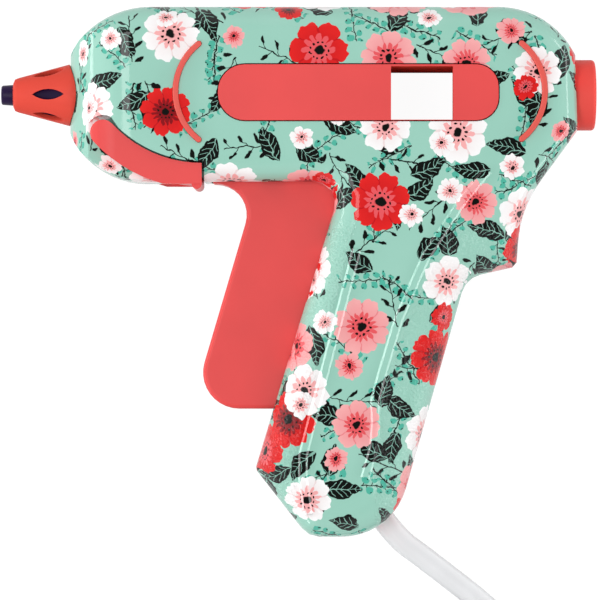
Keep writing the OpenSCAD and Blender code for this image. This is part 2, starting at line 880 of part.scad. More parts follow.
module lever_arms() {
  difference() {
    box(-2.5, 2.5, -lever_lower / cos(swing) - 1.7, 0, -lever_half, lever_half);
    box(-link_r - 0.15, link_r + 0.15, -30, -lever_lower + 1.5, -20, 20);
  }
  for (s = [-1, 1])
    difference() {
      box(-hub_r + 0.4, hub_r - 0.4, 0, lever_upper / cos(swing) + 1.9, arm_z0, arm_z1, s);
      box(-side_pin_r - 0.15, side_pin_r + 0.15, lever_upper - 1.6, 30, 0, 20, s);
    }
}

side_pin_r = 1.25;

module lever_pivot_pin() {
  color([0.75, 0.75, 0.77])
    placed()
      post(pivot, lever_pin_r, -half_t + 1.1, half_t - 1.1);
}

// block that grips the stick and carries it forward
module feed_carriage() {
  color([0.93, 0.93, 0.9])
    placed()
      difference() {
        union() {
          box(carriage_x0, carriage_x1, axis_y - 6, axis_y + 5.8, -5.8, 5.8);
          box(carriage_x0, carriage_x1, axis_y + 5, head_low + 0.1, -1.9, 1.9);
          box(carriage_x0, carriage_x1, head_low, head_high, -5, 5);
          post([carriage_pin_x, axis_y], side_pin_r, -arm_z1 - 0.1, arm_z1 + 0.1);
        }
        along_x(carriage_x0 - 1, carriage_x1 + 1, stick_r + 0.3, axis_y);
        along_x(carriage_x1 - 1, carriage_x1 + 1, grip_r + fit, axis_y);
      }
}

grip_r = 5.2;

// toothed spring-steel ring that bites the stick
module grip_washer() {
  color([0.7, 0.71, 0.74])
    placed()
      difference() {
        lathe([
          [stick_r - 0.05, carriage_x1 - 0.95],
          [grip_r, carriage_x1 - 0.95],
          [grip_r, carriage_x1 - 0.25],
          [stick_r - 0.05, carriage_x1 - 0.25]
        ]);
        for (k = [0 : 7])
          translate([carriage_x1 - 2, axis_y, 0])
            rotate([45 * k, 0, 0])
              translate([0, 0, -0.5])
                cube([4, grip_r - 0.7, 1]);
      }
}

spring_r = 2.5;
spring_turns = 7;
// helix of the trigger's return spring, along x
spring_path = [
  for (i = [0 : spring_turns * 14])
    let (a = 360 * i / 14, f = i / (spring_turns * 14))
    [
      pocket_x + 0.45 + f * (spring_seat_x - pocket_x - 0.9),
      spring_y + spring_r * cos(a),
      spring_r * sin(a)
    ]
];

module return_spring() {
  rings = [
    for (i = [0 : len(spring_path) - 1])
      let (
        p = spring_path[i],
        o = unit([0, p[1] - spring_y, p[2]]),
        t = heading(spring_path, i),
        b = unit(cross(t, o))
      )
      [for (k = [0 : 5]) p + 0.35 * (o * cos(60 * k) + b * sin(60 * k))]
  ];
  color([0.7, 0.71, 0.74])
    placed()
      tube(rings);
}

// fold-down stand: an arm on each side and a bar under the nose
module kickstand() {
  a0 = 222.6;
  arm = concat(
    [for (a = [a0 : (270 - a0) / 10 : 270.01]) stand_center + (arm_curve + arm_width / 2) * turned([1, 0], a)],
    [for (a = [270 : -(270 - a0) / 10 : a0 - 0.01]) stand_center + (arm_curve - arm_width / 2) * turned([1, 0], a)],
    [for (a = [20 : 20 : 160]) stand_pivot + arm_width / 2 * turned([1, 0], a0 - 180 + a)]
  );
  bar = concat(
    [for (a = [256 : 2 : 270]) stand_center + web_r1 * turned([1, 0], a)],
    [for (a = [270 : -2 : 256]) stand_center + web_r0 * turned([1, 0], a)]
  );
  color([0.91, 0.32, 0.32])
    placed()
      difference() {
        union() {
          for (s = [-1, 1]) {
            difference() {
              slab(arm, arm_inner, arm_outer, s);
              box(front_x, stand_end + 1, belly_y - 10, belly_y - 0.3, 0, half_t, s);
            }
            post(stand_pivot, stub_r, recess_z - 1.6, arm_inner + 0.5, s);
          }
          slab(bar, -arm_inner - 0.5, arm_inner + 0.5, 1);
          post([stand_center[0] - 0.9, stand_center[1] - web_r1], 0.9, -arm_outer + 0.3, arm_outer - 0.3);
        }
        nose_cut(half_t + 0.6);
        post(stand_pivot, web_edge, -arm_inner + 0.05, arm_inner - 0.05);
      }
}

// screws that close the case from the far side
module body_screws() {
  color([0.72, 0.72, 0.74])
    placed()
      for (p = screw_spots)
        difference() {
          union() {
            post(p, screw_r, -head_floor - 0.2, inner_half - 2);
            post(p, head_r, -head_floor - 1.7, -head_floor - fit);
          }
          for (a = [0, 90])
            translate([p[0], p[1], -head_floor - 1.7])
              rotate([0, 0, a])
                cube([2.6, 0.6, 1.4], center = true);
        }
}

module cord_clamp() {
  color([0.9, 0.9, 0.88])
    placed()
      difference() {
        translate([clamp_at[0], clamp_at[1], cord_thick / 2 + 0.02])
          rotate([0, 0, exit_angle])
            translate([-1.6, -clamp_screw_gap - 1.7, 0])
              cube([3.2, 2 * clamp_screw_gap + 3.4, 1.8]);
        for (k = [-1, 1])
          post(clamp_at + k * clamp_screw_gap * lefty(exit_dir), 0.95, -1, 8);
      }
}

module clamp_screws() {
  color([0.72, 0.72, 0.74])
    placed()
      for (k = [-1, 1])
        let (p = clamp_at + k * clamp_screw_gap * lefty(exit_dir)) {
          post(p, 0.9, -5.5, cord_thick / 2 + 1.9);
          post(p, 1.5, cord_thick / 2 + 1.85, cord_thick / 2 + 3);
        }
}

// flat cord inside the grip, up to the shell's face
module inner_cord() {
  color([0.92, 0.92, 0.93])
    placed()
      translate([cord_exit[0], cord_exit[1], 0])
        rotate([0, 0, exit_angle])
          translate([-inner_cord_length, 0, 0])
            rotate([0, 90, 0])
              linear_extrude(inner_cord_length)
                polygon([
                  for (k = [0 : 9])
                    [cord_thick / 2 * sin(36 * k), cord_width / 2 * cos(36 * k)]
                ]);
}

inner_end = cord_exit - inner_cord_length * exit_dir;
splice_x = inner_end[0] - 0.3;
splice_y = inner_end[1] + 3.4;
splice_top = splice_y + 5.6;
behind_seat = [spring_seat_x + seat_wall + 1, spring_y - 3.4];
// height between the splices and the spring seat, and a place ahead of the back of the grip
function lead_y(f) = splice_top + f * (behind_seat[1] - splice_top);
function grip_back(y) = web_x - (web_y - y) * tan(15.93);
// insulated leads from the cord up the back of the grip and along the top to the heater
function lead_route(s) = [
  [inner_end[0], inner_end[1] + 0.9, 1.1 * s],
  [splice_x + 0.1, splice_y, 2.4 * s],
  [splice_x, splice_y + 3, 2.4 * s],
  [splice_x, splice_top, 2.4 * s],
  [splice_x + 2.5, lead_y(0.07), 3 * s],
  [splice_x + 7, lead_y(0.14), 4 * s],
  [grip_back(lead_y(0.41)) - 5.35, lead_y(0.41), 5.4 * s],
  [grip_back(lead_y(0.78)) - 4.75, lead_y(0.78), 6.6 * s],
  [behind_seat[0], behind_seat[1], 7 * s],
  [behind_seat[0] + 0.3, behind_seat[1] + 2.4, 7 * s],
  [web_x - 1.8, web_y + 1.7, 7 * s],
  [web_x + 1.8, belly_y - 9.9, 7 * s],
  [web_x + 2.6, axis_y - 17, 7 * s],
  [web_x + 2.6, axis_y - 7, 7 * s],
  [web_x + 2.6, axis_y + 3, 7 * s],
  [web_x + 1, head_high - 1.2, 7 * s],
  [web_x - 3, head_high + 0.2, 7 * s],
  [10, head_high + 0.3, 7 * s],
  [front_x + 31.4, head_high + 0.2, 7 * s],
  [front_x + 27.1, head_high - 1.4, 7 * s],
  [front_x + 25.5, axis_y + 4.5, 7 * s],
  [front_x + 25.5, axis_y - 2.5, 7 * s],
  [front_x + 24.3, axis_y - 6.4, 6 * s],
  [tab_x + 2.4, (s > 0 ? ptc_high : ptc_low) - 1.1, 4 * s],
  [tab_x + 0.1, (s > 0 ? ptc_high : ptc_low - plate) + plate / 2, 2.6 * s]
];
lead_r = 0.6;

module lead(s) {
  path = smooth(lead_route(s), 3);
  placed()
    tube(tube_rings(path, lead_r, lead_r, 8, [for (p = path) 0], heading(path, 0), [-1, 0, 0]));
}

module live_lead() {
  color([0.25, 0.25, 0.27])
    lead(1);
}

module neutral_lead() {
  color([0.85, 0.85, 0.86])
    lead(-1);
}

module splice_caps() {
  color([0.9, 0.82, 0.6])
    placed()
      for (s = [-1, 1])
        translate([splice_x + 0.05, splice_y + 1.4, 2.4 * s])
          rotate([-90, 0, 0])
            difference() {
              cylinder(r = 1.9, h = 3.6, $fn = 48);
              translate([0, 0, -1])
                cylinder(r = lead_r + 0.25, h = 6, $fn = 48);
            }
}

coil_center = [22, -94];
coil_r = 30;
coil_pitch = cord_thick + 0.55;
layer_gap = cord_width + 0.6;
tie_thick = 0.6;
coil_z = tie_thick + 0.1 + cord_width / 2;
in_turns = 3.75;
out_turns = 3.5;
coil_in_r = coil_r - in_turns * coil_pitch;
coil_out_r = coil_in_r + out_turns * coil_pitch;
per_turn = 24;
// radius and height of the winding after a number of turns
function wind_r(t) = coil_in_r + abs(t - in_turns) * coil_pitch;
function wind_z(t) =
  let (h = min(1, max(0, 2 * (t - in_turns) + 0.5)))
  coil_z + layer_gap * (1 - cos(180 * h)) / 2;
coil_turns = in_turns + out_turns;
loops = [
  for (i = [0 : coil_turns * per_turn])
    let (t = i / per_turn)
    [
      coil_center[0] + wind_r(t) * cos(360 * t),
      coil_center[1] - wind_r(t) * sin(360 * t),
      wind_z(t)
    ]
];
coil_start = loops[0] + [0, cord_width, 0];
coil_end = loops[len(loops) - 1] + [-cord_width, 0, 0];
coil_path = concat([coil_start], loops, [coil_end]);
// clear distance of two turns, each an oval on edge
gaps = [
  for (i = [0 : len(loops) - 1])
    for (j = [i + per_turn / 2 : len(loops) - 1])
      let (
        d = loops[i] - loops[j],
        away = norm(d),
        across = norm([d[0], d[1]]) / away,
        up = d[2] / away
      )
      away - norm([cord_thick * across, cord_width * up])
];
echo(least_gap_of_the_coil = min(gaps));
function run(p) = len(p) < 2 ? 0 : [for (i = [0 : len(p) - 2]) norm(p[i + 1] - p[i])] * [for (i = [0 : len(p) - 2]) 1];

module cord_coil() {
  tilts = [for (p = coil_path) 90];
  color([0.92, 0.92, 0.93])
    tube(tube_rings(coil_path, cord_width / 2, cord_thick / 2, 6, tilts, [0, -1, 0], [-1, 0, 0]));
}

// free stretch from the grip down to the coil
lead_in = smooth(
  [
    [cord_exit[0], cord_exit[1], mid_z],
    [cord_exit[0] + 1.5, cord_exit[1] - 2, mid_z - 0.1],
    [18.9, -48.6, mid_z - 0.9],
    [22, -51, mid_z - 2.1],
    [27.5, -55.3, 7.6],
    [34, -60.6, 5],
    [41, -67.4, 3.5],
    [47.4, -75.8, coil_z],
    [coil_start[0] - 1, coil_start[1] + 6, coil_z],
    [coil_start[0], coil_start[1], coil_z]
  ],
  6
);

module cord_lead() {
  n = len(lead_in) - 1;
  tilts = [for (i = [0 : n]) 90 * min(1, max(0, (i / n - 0.5) / 0.4))];
  color([0.92, 0.92, 0.93])
    tube(tube_rings(lead_in, cord_width / 2, cord_thick / 2, 10, tilts,
      [exit_dir[0], exit_dir[1], 0], [0, -1, 0]));
}

plug_angle = 157;
plug_dir = turned([1, 0], plug_angle);
plug_half = 6.5;
tail_bend = 61;
tail_steps = 24;
// one wide arc from the coil to the plug
tail = [
  for (i = [0 : tail_steps])
    let (a = (180 - plug_angle) * i / tail_steps)
    [
      coil_end[0] - tail_bend * sin(a),
      coil_end[1] + tail_bend * (1 - cos(a)),
      coil_end[2] + (plug_half - coil_end[2]) * (1 - cos(180 * i / tail_steps)) / 2
    ]
];
plug_at = tail[tail_steps];

module cord_tail() {
  n = len(tail) - 1;
  tilts = [for (i = [0 : n]) 90 * (1 - min(1, max(0, (i / n - 0.15) / 0.7)))];
  color([0.92, 0.92, 0.93])
    tube(tube_rings(tail, cord_width / 2, cord_thick / 2, 10, tilts,
      [-1, 0, 0], [plug_dir[0], plug_dir[1], 0]));
}
echo(cord_length = run(lead_in) + run(coil_path) + run(tail));

// strap around the coil
module cord_tie() {
  r0 = coil_in_r - cord_thick / 2 - 0.3;
  r1 = max(coil_r, coil_out_r) + cord_thick / 2 + 0.3;
  z1 = coil_z + layer_gap + cord_width / 2 + 0.1;
  color([0.2, 0.2, 0.2])
    translate([coil_center[0], coil_center[1], 0])
      rotate([0, 0, 150])
        difference() {
          translate([r0 - tie_thick, -1.8, 0])
            cube([r1 - r0 + 2 * tie_thick, 3.6, z1 + tie_thick]);
          translate([r0, -3, tie_thick])
            cube([r1 - r0, 6, z1 - tie_thick]);
        }
}

blade_gap = 12.7;
blade_width = 6.35;
blade_thick = 1.5;
blade_length = 16;
plug_length = 26;

module plug_frame() {
  translate([plug_at[0], plug_at[1], plug_half])
    rotate([0, 0, plug_angle])
      children();
}

module blade_solids(grow) {
  for (s = [-1, 1])
    translate([plug_length - 7, s * blade_gap / 2 - blade_thick / 2 - grow, -blade_width / 2 - grow])
      cube([7 + blade_length, blade_thick + 2 * grow, blade_width + 2 * grow]);
}

module plug_body() {
  plan = [[0, -3], [7, -3.8], [12, -9.2], [14, -9.8], [plug_length, -10], [plug_length, 10],
    [14, 9.8], [12, 9.2], [7, 3.8], [0, 3]];
  side = [[0, -2.6], [7, -3.2], [13, -6], [16, -plug_half], [plug_length, -plug_half],
    [plug_length, plug_half], [16, plug_half], [13, 6], [7, 3.2], [0, 2.6]];
  color([0.92, 0.92, 0.93])
    plug_frame()
      difference() {
        intersection() {
          translate([0, 0, -20])
            linear_extrude(40)
              polygon(plan);
          translate([0, 20, 0])
            rotate([90, 0, 0])
              linear_extrude(40)
                polygon(side);
        }
        blade_solids(0.02);
      }
}

module plug_blades() {
  color([0.78, 0.74, 0.6])
    plug_frame()
      difference() {
        blade_solids(0);
        translate([plug_length + blade_length - 4, 20, 0])
          rotate([90, 0, 0])
            cylinder(r = 1.6, h = 40, $fn = 32);
      }
}

left_shell();
right_shell();
left_window_insert();
right_window_insert();
left_front_arc();
left_rear_arc();
right_front_arc();
right_rear_arc();
stick_inlet();
nozzle_cover();
nozzle();
nose_bush();
melt_chamber();
front_heat_ring();
rear_heat_ring();
heater_chip();
heater_plates();
heater_films();
heater_clip();
stick_sleeve();
sleeve_clip();
trigger();
trigger_link_pin();
feed_lever();
lever_pivot_pin();
feed_carriage();
grip_washer();
return_spring();
kickstand();
body_screws();
cord_clamp();
clamp_screws();
inner_cord();
live_lead();
neutral_lead();
splice_caps();
cord_lead();
cord_coil();
cord_tail();
cord_tie();
plug_body();
plug_blades();
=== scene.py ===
import math

import bmesh
import bpy
import numpy as np
from mathutils import Matrix, Vector


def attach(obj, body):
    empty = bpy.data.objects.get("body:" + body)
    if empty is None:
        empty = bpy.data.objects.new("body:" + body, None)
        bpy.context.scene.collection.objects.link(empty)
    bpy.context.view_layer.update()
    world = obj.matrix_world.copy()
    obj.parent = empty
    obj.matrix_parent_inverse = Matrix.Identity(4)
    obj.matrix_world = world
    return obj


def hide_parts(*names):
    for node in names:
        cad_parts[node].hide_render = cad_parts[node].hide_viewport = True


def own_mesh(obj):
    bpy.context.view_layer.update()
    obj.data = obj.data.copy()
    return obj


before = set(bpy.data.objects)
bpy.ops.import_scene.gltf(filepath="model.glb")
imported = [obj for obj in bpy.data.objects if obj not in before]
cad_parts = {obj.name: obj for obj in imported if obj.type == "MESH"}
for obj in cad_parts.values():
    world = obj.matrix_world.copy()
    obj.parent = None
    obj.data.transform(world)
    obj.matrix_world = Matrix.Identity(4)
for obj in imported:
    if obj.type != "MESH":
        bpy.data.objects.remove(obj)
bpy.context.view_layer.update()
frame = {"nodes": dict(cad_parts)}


# The table: a white top, lit by a soft panel overhead and two low strips at the sides, and seen
# from straight above, so that the tool lying on its side fills the picture.
MM = 0.001
PARTING = 12.1 * MM
SEEN_WIDTH = 108 * MM
CAMERA_HEIGHT = 770 * MM
VIEW_CENTRE = (0.36 * MM, -5.04 * MM)
SENSOR = 36
TABLE_HALF = 1.5
TABLE_DROP = 0.02 * MM
TABLE_GREY = 0.15
TABLE_LIFT = 0.95
SKY_LIGHT = 0.66
SKY_DARK = 0.05
SKY_FADE = (0.55, 0.92)

scene = bpy.context.scene
scene.view_settings.view_transform = "Standard"
camera = bpy.data.objects.new("camera", bpy.data.cameras.new("camera"))
camera.data.sensor_width = SENSOR
camera.data.lens = SENSOR * CAMERA_HEIGHT / SEEN_WIDTH
camera.location = (*VIEW_CENTRE, PARTING + CAMERA_HEIGHT)
scene.collection.objects.link(camera)
scene.camera = camera


def srgb(red, green, blue):
    """Colour from its 0 to 255 screen values."""
    parts = [v / 255 for v in (red, green, blue)]
    return [p / 12.92 if p < 0.04 else ((p + 0.055) / 1.055) ** 2.4 for p in parts] + [1]


def fill(tree, node, inputs):
    """Links or sets the inputs of a node, by name or by number."""
    for key, value in inputs.items() if isinstance(inputs, dict) else enumerate(inputs):
        if isinstance(value, bpy.types.NodeSocket):
            tree.links.new(value, node.inputs[key])
        else:
            node.inputs[key].default_value = value


def add(tree, kind, inputs=(), out=0, **settings):
    """New node in a tree, with its inputs linked or set; gives one of its outputs."""
    node = tree.nodes.new("ShaderNode" + kind)
    for key, value in settings.items():
        setattr(node, key, value)
    fill(tree, node, inputs)
    return node.outputs[out]


def calc(tree, operation, *values):
    return add(tree, "Math", values, operation=operation)


def parts_of(tree, vector):
    """The x, y and z of a vector."""
    split = tree.nodes.new("ShaderNodeSeparateXYZ")
    tree.links.new(vector, split.inputs[0])
    return split.outputs


def new_material(name):
    material = bpy.data.materials.new(name)
    material.use_nodes = True
    return material, material.node_tree, material.node_tree.nodes["Principled BSDF"]


def seen_directly(tree):
    """1 for what the camera sees, straight or by reflection and through glass."""
    path = tree.nodes.new("ShaderNodeLightPath").outputs
    either = calc(tree, "MAXIMUM", path["Is Camera Ray"], path["Is Glossy Ray"])
    return calc(tree, "MAXIMUM", either, path["Is Transmission Ray"])


bm = bmesh.new()
bmesh.ops.create_grid(bm, x_segments=1, y_segments=1, size=TABLE_HALF)
bmesh.ops.translate(bm, verts=bm.verts, vec=(0, 0, -TABLE_DROP))
table = bpy.data.objects.new("table", bpy.data.meshes.new("table"))
bm.to_mesh(table.data)
bm.free()
scene.collection.objects.link(table)
table_white, tree, shader = new_material("table_white")
shader.inputs["Base Color"].default_value = (TABLE_GREY, TABLE_GREY, TABLE_GREY, 1)
shader.inputs["Roughness"].default_value = 0.9
shader.inputs["Specular IOR Level"].default_value = 0
shader.inputs["Emission Color"].default_value = (1, 1, 1, 1)
lift = calc(tree, "MULTIPLY", seen_directly(tree), TABLE_LIFT)
tree.links.new(lift, shader.inputs["Emission Strength"])
table.data.materials.append(table_white)

# the sky lights evenly, and in reflections it is bright low down and dark overhead
world = bpy.data.worlds.new("studio")
scene.world = world
world.use_nodes = True
tree = world.node_tree
height = parts_of(tree, add(tree, "TexCoord"))[2]
sky = add(tree, "MapRange", {0: height, 1: SKY_FADE[0], 2: SKY_FADE[1], 3: 1, 4: SKY_DARK})
strength = add(tree, "Mix", {0: seen_directly(tree), 2: SKY_LIGHT, 3: sky})
tree.links.new(strength, tree.nodes["Background"].inputs["Strength"])
tree.nodes["Background"].inputs["Color"].default_value = (1, 1, 1, 1)


def soft_lamp(name, place, aim, width, height, watts):
    lamp = bpy.data.objects.new(name, bpy.data.lights.new(name, "AREA"))
    lamp.data.shape = "RECTANGLE"
    lamp.data.size = width
    lamp.data.size_y = height
    lamp.data.energy = watts
    lamp.location = place
    lamp.rotation_euler = (Vector(aim) - Vector(place)).to_track_quat("-Z", "Y").to_euler()
    scene.collection.objects.link(lamp)


soft_lamp("top_panel", (-0.24, 0.02, 0.78), (0, 0, 0), 0.6, 0.2, 2.0)
soft_lamp("left_strip", (-0.6, 0, 0.11), (0, 0, 0.012), 1.2, 0.08, 2.4)
soft_lamp("right_strip", (0.6, 0, 0.11), (0, 0, 0.012), 1.2, 0.08, 2.0)


# The mains cord: two stranded wires side by side in white vinyl, so the section is two round
# cores with a groove between. It leaves the end of the grip and is wound up and tied.
CORD_WIDTH = 4.2 * MM
CORD_THICK = 2.5 * MM
GROOVE_FILL = 0.93
CORD_EXIT = Vector((14.964, -43.9, 12.1)) * MM
EXIT_HEADING = Vector((math.cos(math.radians(-54)), math.sin(math.radians(-54)), 0))
COIL_CENTRE = Vector((22, -94, 0)) * MM
COIL_RADIUS = 30 * MM
COIL_PITCH = CORD_THICK + 0.55 * MM
COIL_LOW = 2.8 * MM
LAYER_RISE = CORD_WIDTH + 0.6 * MM
TURNS_IN = 3.75
TURNS_OUT = 3.5
PLUG_ANGLE = math.radians(157)
PLUG_HALF = 6.5 * MM
TAIL_BEND = 61 * MM
LEAD_STEPS = 6
TURN_STEPS = 36
TAIL_STEPS = 24
SECTION_POINTS = 28


def smooth_line(points, steps):
    """Catmull-Rom line through the points."""
    line = []
    last = len(points) - 1
    for i in range(last):
        a, b = points[max(i - 1, 0)], points[i]
        c, d = points[i + 1], points[min(i + 2, last)]
        for k in range(steps):
            t = k / steps
            first = (c - a) * t
            second = (2 * a - 5 * b + 4 * c - d) * t * t
            third = (3 * b - a - 3 * c + d) * t * t * t
            line.append(0.5 * (2 * b + first + second + third))
    return line + [points[last]]


def coil_point(turn):
    """Point of the coil, which winds inward and then, a layer higher, outward."""
    radius = COIL_RADIUS - TURNS_IN * COIL_PITCH + abs(turn - TURNS_IN) * COIL_PITCH
    climb = min(1, max(0, 2 * (turn - TURNS_IN) + 0.5))
    height = COIL_LOW + LAYER_RISE * (1 - math.cos(math.pi * climb)) / 2
    angle = math.tau * turn
    return COIL_CENTRE + Vector((radius * math.cos(angle), -radius * math.sin(angle), height))


def twist(share, start, span):
    """Quarter turn of the flat cord that starts at a share of a stretch and takes a span of it."""
    return math.pi / 2 * min(1, max(0, (share - start) / span))


coil_start = coil_point(0) + Vector((0, CORD_WIDTH, 0))
coil_end = coil_point(TURNS_IN + TURNS_OUT) + Vector((-CORD_WIDTH, 0, 0))
lead_points = [
    CORD_EXIT,
    CORD_EXIT + Vector((1.5, -2, -0.1)) * MM,
    Vector((18.9, -48.6, 11.2)) * MM,
    Vector((22, -51, 10)) * MM,
    Vector((27.5, -55.3, 7.6)) * MM,
    Vector((34, -60.6, 5)) * MM,
    Vector((41, -67.4, 3.5)) * MM,
    Vector((47.4, -75.8, 2.8)) * MM,
    coil_start + Vector((-1, 6, 0)) * MM,
    coil_start,
]
lead = smooth_line(lead_points, LEAD_STEPS)
coil = [coil_point(i / TURN_STEPS) for i in range(round((TURNS_IN + TURNS_OUT) * TURN_STEPS) + 1)]
tail = []
for i in range(TAIL_STEPS + 1):
    share = i / TAIL_STEPS
    angle = (math.pi - PLUG_ANGLE) * share
    fall = (PLUG_HALF - coil_end.z) * (1 - math.cos(math.pi * share)) / 2
    sweep = Vector((-TAIL_BEND * math.sin(angle), TAIL_BEND * (1 - math.cos(angle)), fall))
    tail.append(coil_end + sweep)
route = lead + coil + tail
tilts = [twist(i / (len(lead) - 1), 0.5, 0.4) for i in range(len(lead))]
tilts += [math.pi / 2] * len(coil)
tilts += [math.pi / 2 - twist(i / TAIL_STEPS, 0.15, 0.7) for i in range(len(tail))]


def cord_frames(line, turns):
    """Place and bearing of the cord's section at each point of its line."""
    frames = []
    for i, point in enumerate(line):
        ahead = (line[min(i + 1, len(line) - 1)] - line[max(i - 1, 0)]).normalized()
        if i == 0:
            ahead = EXIT_HEADING
        across = Vector((0, 0, 1)).cross(ahead).normalized()
        up = ahead.cross(across)
        axes = Matrix((across, up, ahead)).transposed().to_4x4()
        frames.append(Matrix.Translation(point) @ axes @ Matrix.Rotation(turns[i], 4, "Z"))
    return frames


def twin_section(angle):
    """Point of the outline of two cores side by side with a filled groove, by its angle."""
    core = CORD_THICK / 2
    apart = CORD_WIDTH / 2 - core
    c, s = abs(math.cos(angle)), math.sin(angle)
    reach = apart * c + math.sqrt(max(core * core - (apart * s) ** 2, 0))
    if GROOVE_FILL * core * c < apart * abs(s):
        reach = max(reach, GROOVE_FILL * core / abs(s))
    return Vector((reach * math.cos(angle), reach * s, 0))


frames = cord_frames(route, tilts)
bm = bmesh.new()
section = [twin_section(math.tau * k / SECTION_POINTS) for k in range(SECTION_POINTS)]
bm.faces.new([bm.verts.new(frames[0] @ point) for point in section])
edges = list(bm.edges)
for before, after in zip(frames, frames[1:]):
    grown = bmesh.ops.extrude_edge_only(bm, edges=edges)["geom"]
    edges = [e for e in grown if isinstance(e, bmesh.types.BMEdge)]
    ends = [v for v in grown if isinstance(v, bmesh.types.BMVert)]
    bmesh.ops.transform(bm, matrix=after @ before.inverted(), verts=ends)
bmesh.ops.contextual_create(bm, geom=edges)
bmesh.ops.recalc_face_normals(bm, faces=bm.faces)
# extruding leaves the order of the elements to chance, so they are sorted by place
SORT_WAY = Vector((1, math.pi, math.e))
bm.verts.sort(key=lambda v: v.co.dot(SORT_WAY))
bm.edges.sort(key=lambda e: (e.verts[0].co + e.verts[1].co).dot(SORT_WAY))
bm.faces.sort(key=lambda f: f.calc_center_median().dot(SORT_WAY))


def make_piece(name, bm, body, material, nodes=(), sharp=35):
    """Object from a finished mesh: shaded smooth up to an angle, riding on a body of the part."""
    limit = math.radians(sharp)
    for face in bm.faces:
        face.smooth = True
    for edge in bm.edges:
        edge.smooth = not (edge.is_manifold and edge.calc_face_angle() > limit)
    piece = bpy.data.objects.new(name, bpy.data.meshes.new(name))
    bm.to_mesh(piece.data)
    bm.free()
    piece.data.materials.append(material)
    weigh = piece.modifiers.new("even_shading", "WEIGHTED_NORMAL")
    weigh.mode = "FACE_AREA"
    weigh.keep_sharp = True
    scene.collection.objects.link(piece)
    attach(piece, body)
    if nodes:
        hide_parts(*nodes)
    return piece


def scaled(tree, vector, factor):
    return add(tree, "VectorMath", {0: vector, 3: factor}, operation="SCALE")


def node_group(name, inputs, outputs):
    """New shader group; gives its tree, its input sockets and its output sockets."""
    tree = bpy.data.node_groups.new(name, "ShaderNodeTree")
    for label, kind in inputs:
        tree.interface.new_socket(label, in_out="INPUT", socket_type="NodeSocket" + kind)
    for label, kind in outputs:
        tree.interface.new_socket(label, in_out="OUTPUT", socket_type="NodeSocket" + kind)
    return tree, tree.nodes.new("NodeGroupInput").outputs, tree.nodes.new("NodeGroupOutput").inputs


def use_group(tree, group, values):
    """A group put in a tree, with its inputs linked or set; gives its outputs."""
    node = tree.nodes.new("ShaderNodeGroup")
    node.node_tree = group
    fill(tree, node, values)
    return node.outputs


# moulding: faint clouding of the colour, flow marks in the gloss and a fine skin
t, i, o = node_group(
    "moulding",
    [("Colour", "Color"), ("Gloss", "Float"), ("Grain", "Float")],
    [("Colour", "Color"), ("Roughness", "Float"), ("Height", "Float")],
)
moulding = t
place = add(t, "TexCoord", out=3)
cloud = add(t, "TexNoise", {"Vector": place, "Scale": 60, "Detail": 3})
skin = add(t, "TexNoise", {"Vector": place, "Scale": i["Grain"], "Detail": 4})
shade = add(t, "MapRange", {0: cloud, 1: 0.3, 2: 0.7, 3: 0.94, 4: 1.04})
t.links.new(scaled(t, i["Colour"], shade), o["Colour"])
gloss = calc(t, "MULTIPLY_ADD", calc(t, "SUBTRACT", cloud, 0.5), 0.12, i["Gloss"])
gloss = calc(t, "MULTIPLY_ADD", calc(t, "SUBTRACT", skin, 0.5), 0.1, gloss)
t.links.new(gloss, o["Roughness"])
t.links.new(skin, o["Height"])


def moulded(name, colour, gloss, grain=1800, strength=0.12, shine=0.5, metallic=0):
    """Material of a plastic, rubber, vinyl or metal piece with the moulding's unevenness."""
    material, tree, shader = new_material(name)
    out = use_group(tree, moulding, {"Colour": colour, "Gloss": gloss, "Grain": grain})
    tree.links.new(out["Colour"], shader.inputs["Base Color"])
    tree.links.new(out["Roughness"], shader.inputs["Roughness"])
    bump = add(tree, "Bump", {"Height": out["Height"], "Strength": strength, "Distance": 0.05 * MM})
    tree.links.new(bump, shader.inputs["Normal"])
    shader.inputs["Specular IOR Level"].default_value = shine
    shader.inputs["Metallic"].default_value = metallic
    return material


cord_vinyl = moulded("cord_vinyl", srgb(232, 233, 235), 0.36, grain=900)
cord_nodes = ["cord_lead", "cord_coil", "cord_tail"]
cord = make_piece("cord", bm, "case", cord_vinyl, cord_nodes, sharp=60)
nodes = frame["nodes"]


def solid_of(node):
    """Copy of a CAD solid with its triangles joined and its flat faces whole."""
    bm = bmesh.new()
    bm.from_mesh(nodes[node].data)
    bmesh.ops.remove_doubles(bm, verts=bm.verts, dist=0.001 * MM)
    bmesh.ops.dissolve_limit(bm, angle_limit=math.radians(0.5), verts=bm.verts, edges=bm.edges)
    return bm


def rounded(bm, width, segments=3, choose=None, least=30):
    """Rounds the sharp edges of a solid, or those of them that choose picks."""
    limit = math.radians(least)
    sharp = [e for e in bm.edges if e.is_manifold and e.calc_face_angle() > limit]
    if choose:
        sharp = [e for e in sharp if choose(e)]
    bmesh.ops.bevel(
        bm,
        geom=sharp,
        offset=width,
        offset_type="OFFSET",
        segments=segments,
        profile=0.5,
        affect="EDGES",
        clamp_overlap=True,
        material=-1,
    )
    return bm


def rounded_piece(name, node, width, material, segments=3):
    """Piece on the case made from one CAD solid, with its sharp edges rounded."""
    bm = rounded(solid_of(node), width, segments)
    return make_piece(name, bm, "case", material, [node])


tie_strap = moulded("tie_strap", srgb(48, 48, 50), 0.75, grain=2600, strength=0.5)
rounded_piece("cord_strap", "cord_tie", 0.2 * MM, tie_strap)
plug_vinyl = moulded("plug_vinyl", srgb(228, 229, 231), 0.42, grain=900)
plug = rounded_piece("plug", "plug_body", 1 * MM, plug_vinyl)
blade_brass = moulded("blade_brass", srgb(214, 196, 150), 0.28, metallic=1)
blades = rounded_piece("blades", "plug_blades", 0.25 * MM, blade_brass)


